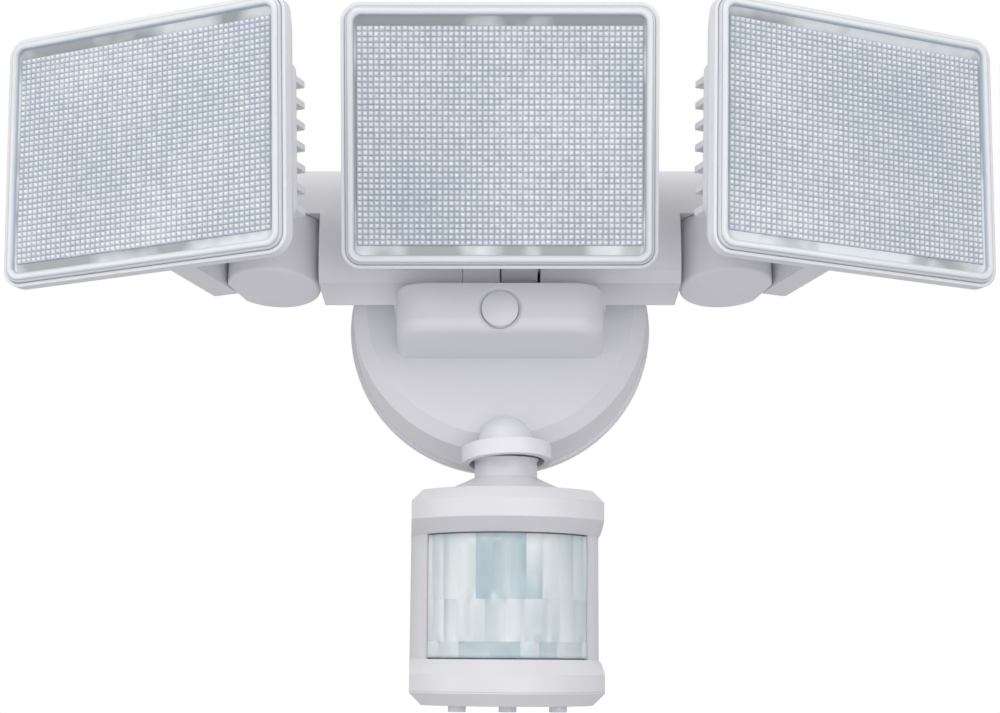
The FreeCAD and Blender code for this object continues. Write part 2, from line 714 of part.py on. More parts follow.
def cover_edge_line(gap):
    """The stepped outline of the arm's cover, with a gap all round."""
    wide = "(pan_across + pan_ring_radius + run_gap + 1.2 - %s)" % gap
    low = "(arm_rear_bottom + cover_edge + %s)" % gap
    high = "(arm_top - cover_edge - %s)" % gap
    waist = "(arm_half - cover_edge + 1 - %s)" % gap
    step = "(ear_bottom + cover_edge + %s)" % gap
    return [
        ("-" + waist, low), (waist, low), (waist, step), (wide, step),
        (wide, high), ("-" + wide, high), ("-" + wide, step), ("-" + waist, step)]


COVER_SCREWS = [
    (side + "(cave_half + arm_half - cover_edge) / 2", height)
    for side in ("-", "") for height in ("cave_floor + 3", "cave_top - 3")]


def build_arm_cover():
    """Flat plate that closes the arm's hollows against the canopy."""
    body = body_named("arm_cover")
    plate = sketch_on(body, "XZ", "dish_depth")
    outline(plate, cover_edge_line("fit_gap"))
    for across, height in COVER_SCREWS:
        circle(plate, across, height, "screw_radius + fit_gap")
    pad(body, plate, "cover_thick")


def build_hinge_block():
    """Block clamped in the arm's notch; the centre head's lug turns beside it."""
    body = body_named("center_hinge_block")
    section = sketch_on(body, "YZ", "hinge_block_right")
    outline(section, arm_section())
    pad(body, section, "hinge_block_right + notch_left - fit_gap", Reversed=True)
    keep = sketch_on(body, "YZ", "hinge_block_right + 1")
    outline(keep, [
        ("-notch_back - fit_gap", "-notch_floor"),
        ("-arm_crease_front - 9", "-notch_floor"),
        ("-arm_crease_front - 9", "-arm_bottom - 1"),
        ("-dish_depth + 1", "-arm_bottom - 1"),
        ("-dish_depth + 1", "arm_top + 1"),
        ("-arm_crease_front - 9", "arm_top + 1"),
        ("-arm_crease_front - 9", "notch_top - 9"),
        ("-notch_back - fit_gap", "notch_top - 9")])
    pocket(body, keep, "notch_left + hinge_block_right + 2")
    bore = sketch_on(body, "YZ", "hinge_block_right + 1")
    circle(bore, "-center_axis_out", "center_axis_height", "tilt_bolt + pin_gap")
    pocket(body, bore, "notch_left + 3")


def hexagon(sketch, across, height, radius):
    outline(sketch, [
        ("%s + %s * cos(%d)" % (across, radius, angle), "%s + %s * sin(%d)" % (height, radius, angle))
        for angle in range(0, 360, 60)])


# Pan knuckles of the side heads ---------------------------------------------

SIDES = (("left", -1), ("right", 1))


def signed(side, text):
    """The expression on the right of the light, or mirrored to the left."""
    return "-(%s)" % text if side < 0 else "(%s)" % text


def pivot_place(side):
    """Frame of a side knuckle: pan axis along Z, tilt axis along X."""
    return Placement(
        Vector(side * size("pan_across"), -size("pan_out"), size("pan_height")),
        Rotation(Vector(0, 0, 1), side * size("side_yaw")))


SHOULDER = "(ear_bottom + ear_floor + run_gap - pan_height)"
KNUCKLE_TOP = "(ear_bottom - run_gap - pan_height)"


def build_knuckle(name, side):
    """Round post under the arm's ear, with a raked foot and a flat outside."""
    body = body_named(name + "_knuckle")
    post = sketch_on(body, "XY", "-foot_back - 1")
    circle(post, "0", "0", "knuckle_radius")
    pad(body, post, "foot_back + 1 + " + KNUCKLE_TOP)
    rake = sketch_on(body, "YZ")
    outline(rake, [
        ("-knuckle_radius", "-foot_front"),
        ("knuckle_radius", "-foot_back"),
        ("knuckle_radius + 1", "-foot_back"),
        ("knuckle_radius + 1", "-foot_back - 2"),
        ("-knuckle_radius - 1", "-foot_back - 2"),
        ("-knuckle_radius - 1", "-foot_front")])
    pocket(body, rake, "2 * knuckle_radius + 2", Midplane=True)
    face = sketch_on(body, "XY", "-foot_back - 2")
    plain_box(face, signed(side, "knuckle_face"), signed(side, "knuckle_radius + 3"),
              "-knuckle_radius - 1", "knuckle_radius + 1")
    pocket(body, face, "foot_back + 3 + " + KNUCKLE_TOP, Reversed=True)
    middle = -(size("foot_back") + size("foot_front")) / 2
    slope = (size("foot_front") - size("foot_back")) / (2 * size("knuckle_radius"))
    round_off(body, "foot_edge", lambda spot: near(spot.z, middle + slope * spot.y))
    spigot = sketch_on(body, "XY", KNUCKLE_TOP + " - 1")
    circle(spigot, "0", "0", "spigot_radius")
    pad(body, spigot, SHOULDER + " - " + KNUCKLE_TOP + " + 1")
    thread = sketch_on(body, "XY", SHOULDER + " - 1")
    circle(thread, "0", "0", "spigot_neck")
    pad(body, thread, "pan_ring_thick + pan_nut_height + 1")
    axle = sketch_on(body, "YZ", signed(side, "knuckle_face + 1"))
    circle(axle, "0", "0", "tilt_bolt + pin_gap")
    pocket(body, axle, "knuckle_face + knuckle_nut_seat + tilt_nut_height + 2", Reversed=side < 0)
    slot = sketch_on(body, "YZ", signed(-side, "knuckle_nut_seat"))
    flat = "(tilt_nut * cos(30) + fit_gap)"
    plain_box(slot, "-tilt_nut - fit_gap", "knuckle_radius + 1", "-" + flat, flat)
    pocket(body, slot, "tilt_nut_height + run_gap", Reversed=side < 0)
    body.Placement = pivot_place(side)


def build_pan_ring(name, side):
    body = body_named(name + "_pan_washer")
    ring = sketch_on(body, "XY", SHOULDER)
    circle(ring, "0", "0", "pan_ring_radius")
    circle(ring, "0", "0", "spigot_neck + pin_gap")
    pad(body, ring, "pan_ring_thick")
    body.Placement = pivot_place(side)


def build_pan_nut(name, side):
    body = body_named(name + "_pan_nut")
    nut = sketch_on(body, "XY", SHOULDER + " + pan_ring_thick")
    hexagon(nut, "0", "0", "pan_nut_radius")
    circle(nut, "0", "0", "spigot_neck + pin_gap")
    pad(body, nut, "pan_nut_height")
    body.Placement = pivot_place(side)


def build_side_bolt(name, side):
    """Bolt that a side head tilts on, through its lug into the knuckle."""
    body = body_named(name + "_tilt_bolt")
    seat = "(knuckle_face + run_gap + lug_width - tilt_head_height)"
    head = sketch_on(body, "YZ", signed(side, seat))
    circle(head, "0", "0", "tilt_head")
    pad(body, head, "tilt_head_height - run_gap", Reversed=side < 0)
    shank = sketch_on(body, "YZ", signed(side, seat))
    circle(shank, "0", "0", "tilt_bolt")
    pad(body, shank, seat + " + knuckle_nut_seat + tilt_nut_height", Reversed=side > 0)
    socket = sketch_on(body, "YZ", signed(side, seat + " + tilt_head_height - run_gap"))
    hexagon(socket, "0", "0", "(tilt_head / 2)")
    pocket(body, socket, "tilt_head_height / 2", Reversed=side < 0)
    body.Placement = pivot_place(side)


def build_side_nut(name, side):
    body = body_named(name + "_tilt_nut")
    nut = sketch_on(body, "YZ", signed(-side, "knuckle_nut_seat"))
    hexagon(nut, "0", "0", "tilt_nut")
    circle(nut, "0", "0", "tilt_bolt + pin_gap")
    pad(body, nut, "tilt_nut_height", Reversed=side > 0)
    body.Placement = pivot_place(side)


def build_center_bolt():
    """Bolt and nut of the centre head, from one hollow of the arm to the other."""
    place = Placement(
        Vector(0, -size("center_axis_out"), size("center_axis_height")), Rotation())
    bolt = body_named("center_tilt_bolt")
    head = sketch_on(bolt, "YZ", "cave_inner")
    circle(head, "0", "0", "tilt_head")
    pad(bolt, head, "tilt_head_height")
    shank = sketch_on(bolt, "YZ", "cave_inner")
    circle(shank, "0", "0", "tilt_bolt")
    pad(bolt, shank, "2 * cave_inner + tilt_nut_height", Reversed=True)
    bolt.Placement = place
    nut = body_named("center_tilt_nut")
    ring = sketch_on(nut, "YZ", "-cave_inner")
    hexagon(ring, "0", "0", "tilt_nut")
    circle(ring, "0", "0", "tilt_bolt + pin_gap")
    pad(nut, ring, "tilt_nut_height", Reversed=True)
    nut.Placement = place


# Heads ----------------------------------------------------------------------

def head_place(side):
    """Frame of a head: the origin is the middle of the front of its glass."""
    if side == 0:
        pivot = Placement(Vector(0, -size("center_axis_out"), size("center_axis_height")),
                          Rotation(Vector(1, 0, 0), size("center_tilt")))
        return pivot.multiply(
            Placement(Vector(0, -size("center_reach"), size("center_rise")), Rotation()))
    tilt = Placement(Vector(side * size("side_offset"), 0, 0),
                     Rotation(Vector(1, 0, 0), size("side_tilt")))
    spot = Placement(Vector(0, -size("side_reach"), size("side_rise")), Rotation())
    return pivot_place(side).multiply(tilt).multiply(spot)


def framed(sketch, inset, corner="lens_corner"):
    """The glass's outline, drawn in by an inset (out, where it is negative)."""
    wide = "(lens_width / 2 - (%s))" % inset
    high = "(lens_height / 2 - (%s))" % inset
    rounded_box(sketch, "-" + wide, wide, "-" + high, high, corner)


def build_head_housing(name, side):
    """Cast housing: bowl for the glass, finned back and the hinge lug."""
    body = body_named(name + "_head_housing")
    rim = sketch_on(body, "XZ", "-head_rim_bend")
    framed(rim, "-head_lip", "lens_corner + head_lip")
    pad(body, rim, "head_rim_bend - lens_proud")
    front = sketch_on(body, "XZ", "-head_rim_bend")
    framed(front, "-head_lip", "lens_corner + head_lip")
    back = sketch_on(body, "XZ", "-head_rim_back")
    framed(back, "head_taper - head_lip", "lens_corner + head_lip")
    taper = body.newObject("PartDesign::AdditiveLoft", body.Name + "_taper")
    taper.Profile = front
    taper.Sections = [back]
    taper.Ruled = True
    core = sketch_on(body, "XZ", "-sink_back")
    rounded_box(core, "-sink_half_width", "sink_half_width",
                "-sink_half_height", "sink_half_height", "lens_corner")
    pad(body, core, "sink_back - head_rim_back + 1")
    fin = sketch_on(body, "XZ", "-fin_back")
    low = "(-fin_pitch * (fin_count - 1) / 2)"
    plain_box(fin, "-fin_half_width", "fin_half_width",
              low + " - fin_thick / 2", low + " + fin_thick / 2")
    first = pad(body, fin, "fin_back - fin_front")
    rows = body.newObject("PartDesign::LinearPattern", body.Name + "_fins")
    rows.Originals = [first]
    rows.Direction = (fin, ["V_Axis"])
    rows.setExpression("Length", bound("fin_pitch * (fin_count - 1)"))
    rows.setExpression("Occurrences", bound("fin_count"))
    body.Tip = rows
    build_lug(body, side)
    seat = sketch_on(body, "XZ", "-lens_proud")
    framed(seat, "-fit_gap", "lens_corner + fit_gap")
    pocket(body, seat, "lens_thick + gasket_seal - lens_proud")
    bowl = sketch_on(body, "XZ", "-lens_proud")
    framed(bowl, "seal_width")
    pocket(body, bowl, "bowl_depth - lens_proud")
    pilots = sketch_on(body, "XZ", "-bowl_depth")
    board_screw_circles(pilots, "board_screw + pin_gap")
    pocket(body, pilots, "board_screw_length")
    body.Placement = head_place(side)


BOARD_SCREWS = [
    (across + "(lens_width / 2 - floor_inset - board_screw_inset)",
     height + "(lens_height / 2 - floor_inset - board_screw_inset)")
    for across in ("-", "") for height in ("-", "")]


def board_screw_circles(sketch, radius):
    for across, height in BOARD_SCREWS:
        circle(sketch, across, height, radius)


def build_lug(body, side):
    """Arm from the back of the head to its tilt axis, with the bolt's bore."""
    if side == 0:
        reach, drop, radius = "center_reach", "center_rise", "center_lug_radius"
        low, width = "center_lug_left", "(center_lug_right - center_lug_left)"
        top, bottom, lean = "-center_root_top", "-center_root_bottom", ("0.7", "0.7")
    else:
        reach, drop, radius = "side_reach", "side_rise", "lug_radius"
        low = signed(side, "knuckle_face + run_gap - side_offset")
        width = "lug_width"
        top, bottom, lean = "lug_root_top", "-lug_root_bottom", ("0", "1")
    backwards = side < 0
    web = sketch_on(body, "YZ", low)
    outline(web, [
        ("head_rim_back - 1", top),
        ("head_rim_back - 1", bottom),
        ("%s - %s * %s" % (reach, lean[0], radius), "-%s - %s * %s" % (drop, lean[1], radius)),
        ("%s + %s * %s" % (reach, lean[0], radius), "-%s + %s * %s" % (drop, lean[1], radius))])
    pad(body, web, width, Reversed=backwards)
    end = sketch_on(body, "YZ", low)
    circle(end, reach, "-" + drop, radius)
    pad(body, end, width, Reversed=backwards)
    bore = sketch_on(body, "YZ", low)
    circle(bore, reach, "-" + drop, "tilt_bolt + pin_gap")
    pocket(body, bore, "2 * " + width, Midplane=True)
    if side != 0:
        well = sketch_on(
            body, "YZ", signed(side, "knuckle_face + run_gap + lug_width - side_offset"))
        circle(well, reach, "-" + drop, "tilt_head + run_gap")
        pocket(body, well, "tilt_head_height + run_gap", Reversed=backwards)


def build_lens(name, side):
    """Cast glass: a flat plate with a raised rim."""
    body = body_named(name + "_lens")
    plate = sketch_on(body, "XZ", "-lens_thick")
    framed(plate, "0")
    pad(body, plate, "lens_thick - lens_step")
    rim = sketch_on(body, "XZ", "-lens_step")
    framed(rim, "0")
    framed(rim, "lens_rim", "lens_corner - lens_rim / 2")
    pad(body, rim, "lens_step")
    body.Placement = head_place(side)


def build_seal(name, side):
    body = body_named(name + "_lens_seal")
    ring = sketch_on(body, "XZ", "-lens_thick - gasket_seal")
    framed(ring, "0")
    framed(ring, "seal_width", "lens_corner")
    pad(body, ring, "gasket_seal")
    body.Placement = head_place(side)


def build_reflector(name, side):
    """White tray with sloping walls between the board and the glass."""
    body = body_named(name + "_reflector")
    block = sketch_on(body, "XZ", "-bowl_depth + board_thick")
    framed(block, "seal_width + fit_gap", "lens_corner - fit_gap")
    pad(body, block, "bowl_depth - board_thick - lens_thick - gasket_seal")
    mouth = sketch_on(body, "XZ", "-lens_thick - gasket_seal")
    framed(mouth, "seal_width + fit_gap + reflector_wall", "lens_corner - reflector_wall")
    floor = sketch_on(body, "XZ", "-bowl_depth + board_thick")
    framed(floor, "floor_inset", "lens_corner - reflector_wall")
    cut = body.newObject("PartDesign::SubtractiveLoft", body.Name + "_slope")
    cut.Profile = mouth
    cut.Sections = [floor]
    cut.Ruled = True
    body.Placement = head_place(side)


def build_board(name, side):
    body = body_named(name + "_led_board")
    plate = sketch_on(body, "XZ", "-bowl_depth")
    plain_box(plate, "-board_half_width", "board_half_width",
              "-board_half_height", "board_half_height")
    board_screw_circles(plate, "board_screw + fit_gap")
    pad(body, plate, "board_thick")
    body.Placement = head_place(side)


def screws(name, spots, place, length, kind="screw"):
    """One node of alike screws.  Each spot is the underside of a head, and the
    screw's shank runs back along +Y of the given frame, or of that frame turned
    about its X by the spot's own angle."""
    radius, head_radius, head_height = {
        "screw": ("screw_radius", "screw_head_radius", "screw_head_height"),
        "board": ("board_screw", "2 * board_screw", "board_screw")}[kind]
    parts = []
    for index, (across, out, height, *turned) in enumerate(spots):
        made = []
        for part, wide, long, back in (
                ("shank", radius, length, "0"), ("head", head_radius, head_height, head_height)):
            rod = doc.addObject("Part::Cylinder", "%s_%s_%d" % (name, part, index))
            rod.setExpression("Radius", bound(wide))
            rod.setExpression("Height", bound(long))
            rod.Placement = Placement(Vector(), Rotation(Vector(1, 0, 0), -90))
            rod.setExpression("Placement.Base.x", bound(across))
            rod.setExpression("Placement.Base.y", bound("%s - (%s)" % (out, back)))
            rod.setExpression("Placement.Base.z", bound(height))
            made.append(rod)
        joined = doc.addObject("Part::Fuse", "%s_%d" % (name, index))
        joined.Base, joined.Tool = made
        joined.Placement = Placement(Vector(), Rotation(Vector(1, 0, 0), sum(turned)))
        parts.append(joined)
    group = doc.addObject("Part::Compound", name)
    group.Label = name
    group.Links = parts
    group.Placement = place
    pieces.append(group)


def build_board_screws(name, side):
    spots = [(across, "bowl_depth - board_thick", height) for across, height in BOARD_SCREWS]
    screws(name + "_board_screws", spots, head_place(side), "board_screw_length", "board")


def build_leds(name, side):
    """Rows of small light-emitting chips on the board."""
    body = body_named(name + "_leds")
    body.AllowCompound = True
    chips = sketch_on(body, "XZ", "-bowl_depth + board_thick")
    half = "led_size / 2"
    across = "(-led_pitch * (led_columns - 1) / 2)"
    height = "(-led_pitch * (led_rows - 1) / 2)"
    plain_box(chips, across + " - " + half, across + " + " + half,
              height + " - " + half, height + " + " + half)
    first = pad(body, chips, "led_height")
    rows = body.newObject("PartDesign::MultiTransform", body.Name + "_rows")
    rows.Originals = [first]
    columns = body.newObject("PartDesign::LinearPattern", body.Name + "_columns")
    columns.Direction = (chips, ["H_Axis"])
    columns.setExpression("Length", bound("led_pitch * (led_columns - 1)"))
    columns.setExpression("Occurrences", bound("led_columns"))
    lines = body.newObject("PartDesign::LinearPattern", body.Name + "_lines")
    lines.Direction = (chips, ["V_Axis"])
    lines.setExpression("Length", bound("led_pitch * (led_rows - 1)"))
    lines.setExpression("Occurrences", bound("led_rows"))
    rows.Transformations = [columns, lines]
    body.Tip = rows
    body.Placement = head_place(side)


# Driver in the arm, and the fasteners of the fixed pieces --------------------

FORWARD = Placement(Vector(), Rotation(Vector(0, 0, 1), 180))

DRIVER_PARTS = [
    ("box", "driver_left + 2", "driver_left + 16", "driver_bottom + 7.5", "driver_top - 7.5", "9"),
    ("can", "driver_right - 6", "4", "driver_bottom + 11.5", "", "10"),
    ("can", "driver_left + 21", "3", "driver_top - 7", "", "8"),
    ("box", "driver_left + 18", "driver_left + 23", "driver_bottom + 5", "driver_bottom + 9", "2.4"),
    ("box", "driver_left + 18", "driver_left + 22", "driver_bottom + 12", "driver_bottom + 16", "4")]


def build_driver():
    """Board with its transformer, capacitors and small parts."""
    face = "dish_depth + cave_depth - driver_rise"
    board = body_named("driver_board")
    plate = sketch_on(board, "XZ", face)
    plain_box(plate, "driver_left", "driver_right", "driver_bottom", "driver_top")
    driver_corners(plate, "screw_radius + fit_gap")
    pad(board, plate, "board_thick", Reversed=True)
    parts = body_named("driver_components")
    parts.AllowCompound = True
    top = face + " - board_thick"
    for kind, left, right, low, high, height in DRIVER_PARTS:
        block = sketch_on(parts, "XZ", top)
        if kind == "box":
            plain_box(block, left, right, low, high)
        else:
            circle(block, left, low, right)
        pad(parts, block, height, Reversed=True)


def build_arm_screws():
    """Alike screws of the arm's cover, the driver board and the canopy."""
    spots = [(across, "dish_depth", height) for across, height in COVER_SCREWS]
    spots += [(side + "canopy_screw_across", "dish_depth - dish_wall", "-" + height)
              for side in ("-", "") for height in ("arm_screw_drop", "box_screw_drop")]
    spots += [("-(%s)" % across, "dish_depth + cave_depth - driver_rise - board_thick", height)
              for across in ("driver_left + driver_inset", "driver_right - driver_inset")
              for height in ("driver_bottom + driver_inset", "driver_top - driver_inset")]
    screws("arm_screws", spots, FORWARD, "screw_length")


# Sensor ---------------------------------------------------------------------

def socket_place():
    """Frame of the socket: the ball's centre, with Z up the leaning pan axis."""
    spot = Vector(size("ball_drop * sin(socket_turn)"), -size("socket_out"),
                  -size("ball_drop * cos(socket_turn)"))
    return Placement(spot, Rotation(Vector(0, 1, 0), -size("socket_turn")))


def sensor_place():
    turn = Rotation(Vector(0, 0, 1), size("sensor_yaw")).multiply(
        Rotation(Vector(1, 0, 0), size("sensor_tilt")))
    return Placement(socket_place().Base, turn)


def build_swivel():
    """Cup round the ball, the ring that holds it up, and the neck below it."""
    seat = body_named("swivel_seat")
    turned = sketch_on(seat, "XZ")
    cup = "(ball_radius + run_gap)"
    outline(turned, [
        ("0", cup, cup, -1),
        ("sqrt(%s ^ 2 - seat_bottom ^ 2)" % cup, "-seat_bottom"),
        ("seat_nose", "-seat_bottom"),
        ("seat_nose", "-collar_roof"),
        ("seat_radius", "-collar_roof"),
        ("seat_radius", "0", "seat_radius", 1),
        ("0", "seat_radius")])
    lathe(seat, turned)
    seat.Placement = socket_place()
    ring = body_named("swivel_ring")
    flat = sketch_on(ring, "XY", "-collar_roof - seat_ring_thick")
    circle(flat, "0", "0", "collar_bore - pin_gap")
    circle(flat, "0", "0", "seat_nose + run_gap")
    pad(ring, flat, "seat_ring_thick")
    ring.Placement = socket_place()
    neck = body_named("sensor_neck")
    turned = sketch_on(neck, "XZ")
    stub_end = "-sensor_top - sensor_wall - stub_nut_height"
    outline(turned, [
        ("0", "ball_radius", "ball_radius", -1),
        ("ball_stem", "-sqrt(ball_radius ^ 2 - ball_stem ^ 2)"),
        ("ball_stem", "-neck_top"),
        ("sqrt(neck_skirt ^ 2 - neck_top ^ 2)", "-neck_top", "neck_skirt", -1),
        ("neck_radius", "-sqrt(neck_skirt ^ 2 - neck_radius ^ 2)"),
        ("neck_radius", "-neck_bottom"),
        ("cone_radius", "-cone_bottom"),
        ("cone_radius", "-sensor_top"),
        ("stub_radius", "-sensor_top"),
        ("stub_radius", stub_end),
        ("0", stub_end)])
    lathe(neck, turned)
    flat = sketch_on(neck, "XY", "-sensor_top - 1")
    plain_box(flat, "-cone_radius - 1", "cone_radius + 1",
              "sensor_back - fit_gap", "cone_radius + 1")
    pocket(neck, flat, "sensor_top - neck_bottom + 1", Reversed=True)
    neck.Placement = sensor_place()
    nut = body_named("sensor_neck_nut")
    hexed = sketch_on(nut, "XY", stub_end)
    hexagon(hexed, "0", "0", "stub_nut")
    circle(hexed, "0", "0", "stub_radius + pin_gap")
    pad(nut, hexed, "stub_nut_height")
    nut.Placement = sensor_place()


def sensor_plan(sketch, half, radius, back, corner):
    """Straight back with round corners, and a front curved about one centre."""
    front = "(sensor_curve - sensor_front - sqrt((%s) ^ 2 - (%s) ^ 2))" % (radius, half)
    outline(sketch, [
        ("-(%s) + %s" % (half, corner), back),
        ("(%s) - (%s)" % (half, corner), back, corner, -1),
        (half, "(%s) - (%s)" % (back, corner)),
        (half, front, radius, -1),
        ("-(%s)" % half, front),
        ("-(%s)" % half, "(%s) - (%s)" % (back, corner), corner, -1)])


def front_sketch(body):
    """Half section through the middle, round the centre of the curved front."""
    return sketch_on(body, "YZ", shift="sensor_curve - sensor_front")


def base_screw_circles(sketch, radius):
    for side in ("-", ""):
        circle(sketch, side + "boss_across", "boss_back", radius)


CAVITY_CURVE = "(sensor_curve - recess - sensor_wall)"


def build_sensor_housing():
    body = body_named("sensor_housing")
    plan = sketch_on(body, "XY", "-lip_bottom")
    sensor_plan(plan, "sensor_half_width", "sensor_curve", "sensor_back", "sensor_corner")
    pad(body, plan, "lip_bottom - sensor_top")
    top = -size("sensor_top")
    bevel(body, "brow_top - sensor_top", lambda spot: near(spot.z, top))
    recess = front_sketch(body)
    outline(recess, [
        ("-sensor_curve - 1", "-brow_bottom"),
        ("-sensor_curve", "-brow_bottom"),
        ("-sensor_curve + recess", "-window_top"),
        ("-sensor_curve + recess", "-window_bottom"),
        ("-sensor_curve", "-ledge_top"),
        ("-sensor_curve - 1", "-ledge_top")])
    lathe(body, recess, "Groove", "recess_angle", Midplane=True)
    cavity = sketch_on(body, "XY", "-lip_bottom - 1")
    sensor_plan(cavity, "cavity_half_width", CAVITY_CURVE,
                "sensor_back - sensor_wall", "sensor_corner - sensor_wall")
    pocket(body, cavity, "lip_bottom + 1 - sensor_top - sensor_wall", Reversed=True)
    window = front_sketch(body)
    plain_box(window, "-sensor_curve + recess - 1", "-sensor_curve + recess + 1 + sensor_wall",
              "-window_bottom", "-window_top")
    lathe(body, window, "Groove", "window_angle", Midplane=True)
    bosses = sketch_on(body, "XY", "-lip_bottom")
    base_screw_circles(bosses, "boss_radius")
    pad(body, bosses, "lip_bottom - sensor_top - sensor_wall / 2")
    threads = sketch_on(body, "XY", "-lip_bottom")
    base_screw_circles(threads, "screw_radius + pin_gap")
    pocket(body, threads, "screw_length", Reversed=True)
    hole = sketch_on(body, "XY", "-sensor_top + 1")
    circle(hole, "0", "0", "stub_radius + pin_gap")
    pocket(body, hole, "sensor_wall + 2")
    body.Placement = sensor_place()


def build_sensor_lens():
    """Curved shell in the window, with a flange behind the wall."""
    body = body_named("sensor_lens")
    inner = "-" + CAVITY_CURVE + " + pin_gap"
    flange = front_sketch(body)
    plain_box(flange, inner, inner + " + lens_skin",
              "-window_bottom - lens_overlap", "-window_top + lens_overlap")
    lathe(body, flange, angle="window_angle + 2 * flange_angle", Midplane=True)
    face = "-sensor_curve + recess + run_gap"
    block = front_sketch(body)
    plain_box(block, face, inner + " + lens_skin",
              "-window_bottom + fit_gap", "-window_top - fit_gap")
    lathe(body, block, angle="window_angle - 2 * fit_gap", Midplane=True)
    hollow = front_sketch(body)
    plain_box(hollow, face + " + lens_skin", inner + " + lens_skin + 1",
              "-window_bottom + fit_gap + lens_skin", "-window_top - fit_gap - lens_skin")
    lathe(body, hollow, "Groove", "window_angle - 2 * lens_skin", Midplane=True)
    body.Placement = sensor_place()


KNOBS = (("time", "-knob_spacing"), ("brightness", "0"), ("range", "knob_spacing"))


def build_sensor_base():
    body = body_named("sensor_base")
    plan = sketch_on(body, "XY", "-base_bottom")
    sensor_plan(plan, "sensor_half_width", "sensor_curve", "sensor_back", "sensor_corner")
    pad(body, plan, "base_bottom - lip_bottom")
    low = -size("base_bottom")
    bevel(body, "base_bottom - lip_bottom - 0.5", lambda spot: near(spot.z, low))
    posts = sketch_on(body, "XY", "-lip_bottom - 1")
    for side in ("-", ""):
        circle(posts, side + "post_across", "post_back", "post_radius")
    pad(body, posts, "control_height + 1")
    threads = sketch_on(body, "XY", "-lip_bottom + control_height")
    for side in ("-", ""):
        circle(threads, side + "post_across", "post_back", "screw_radius + pin_gap")
    pocket(body, threads, "screw_length - 1")
    holes = sketch_on(body, "XY", "-base_bottom - 1")
    for name, across in KNOBS:
        circle(holes, across, "-knob_forward", "knob_radius + run_gap")
    base_screw_circles(holes, "screw_radius + fit_gap")
    pocket(body, holes, "base_bottom - lip_bottom + 2", Reversed=True)
    wells = sketch_on(body, "XY", "-base_bottom - 1")
    base_screw_circles(wells, "screw_head_radius + fit_gap")
    pocket(body, wells, "base_screw_depth + 1", Reversed=True)
    body.Placement = sensor_place()


def build_sensor_boards():
    """Control board with its trimmers, and the upright board of the detector."""
    floor = "(-lip_bottom + control_height)"
    board = body_named("sensor_control_board")
    plan = sketch_on(board, "XY", floor)
    sensor_plan(plan, "control_half_width", "control_curve", "control_back", "board_thick")
    for side in ("-", ""):
        circle(plan, side + "post_across", "post_back", "screw_radius + fit_gap")
    pad(board, plan, "board_thick")
    board.Placement = sensor_place()
    trimmers = body_named("sensor_trimmers")
    trimmers.AllowCompound = True
    cans = sketch_on(trimmers, "XY", floor)
    for name, across in KNOBS:
        circle(cans, across, "-knob_forward", "trimmer_radius")
        circle(cans, across, "-knob_forward", "knob_stem + pin_gap")
    pad(trimmers, cans, "trimmer_height", Reversed=True)
    trimmers.Placement = sensor_place()
    upright = body_named("sensor_detector_board")
    plate = sketch_on(upright, "XZ", "0")
    plain_box(plate, "-detector_half_width", "detector_half_width",
              floor + " + board_thick", "-detector_top")
    pad(upright, plate, "board_thick", Reversed=True)
    upright.Placement = sensor_place()
    can = body_named("motion_detector")
    brim = sketch_on(can, "XZ")
    circle(brim, "0", "-detector_drop", "detector_radius")
    pad(can, brim, "detector_height / 6")
    cap = sketch_on(can, "XZ")
    circle(cap, "0", "-detector_drop", "detector_radius - 0.5")
    pad(can, cap, "detector_height")
    can.Placement = sensor_place()


def build_knobs():
    for name, across in KNOBS:
        body = body_named(name + "_knob")
        grip = sketch_on(body, "XY", "-base_bottom - knob_proud")
        circle(grip, across, "-knob_forward", "knob_radius")
        pad(body, grip, "knob_proud + base_bottom - lip_bottom - run_gap")
        stem = sketch_on(body, "XY", "-lip_bottom - 1")
        circle(stem, across, "-knob_forward", "knob_stem")
        pad(body, stem, "control_height + 1 - run_gap")
        slot = sketch_on(body, "XY", "-base_bottom - knob_proud - 1")
        plain_box(slot, across + " - knob_radius - 1", across + " + knob_radius + 1",
                  "-knob_forward - knob_stem / 3", "-knob_forward + knob_stem / 3")
        pocket(body, slot, "1 + knob_stem / 2", Reversed=True)
        body.Placement = sensor_place()


def build_sensor_screws():
    """Two screws up into the shell and two down into the base's posts."""
    base = [(side + "boss_across", "-base_bottom + base_screw_depth", "-boss_back", 90)
            for side in ("-", "")]
    board = [(side + "post_across", "lip_bottom - control_height - board_thick", "post_back", -90)
             for side in ("-", "")]
    screws("sensor_screws", base + board, sensor_place(), "screw_length - 1")


build_wall_gasket()
build_canopy()
build_strap()
build_bolt()
build_plug()
build_wiring_box()
build_arm()
build_arm_cover()
build_hinge_block()
build_center_bolt()
for name, side in SIDES:
    build_knuckle(name, side)
    build_pan_ring(name, side)
    build_pan_nut(name, side)
    build_side_bolt(name, side)
    build_side_nut(name, side)
for name, side in (("left", -1), ("center", 0), ("right", 1)):
    build_head_housing(name, side)
    build_lens(name, side)
    build_seal(name, side)
    build_reflector(name, side)
    build_board(name, side)
    build_leds(name, side)
    build_board_screws(name, side)
build_driver()
build_arm_screws()
build_swivel()
build_sensor_housing()
build_sensor_lens()
build_sensor_base()
build_sensor_boards()
build_knobs()
build_sensor_screws()
doc.recompute()

os.makedirs("parts", exist_ok=True)
for item in doc.Objects:
    if "Invalid" in item.State or "Error" in item.State:
        raise RuntimeError("%s failed: %s" % (item.Label, item.State))
for piece in pieces:
    shape = piece.Shape
    if shape.isNull() or not shape.isValid():
        raise RuntimeError("%s has no valid shape" % piece.Label)
    print("%-24s %2d solids %9.0f mm3" % (piece.Label, len(shape.Solids), shape.Volume), shape.BoundBox)
    shape.exportStep("parts/%s.step" % piece.Label)
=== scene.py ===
import bpy
import bmesh
import math
from mathutils import Matrix, Vector


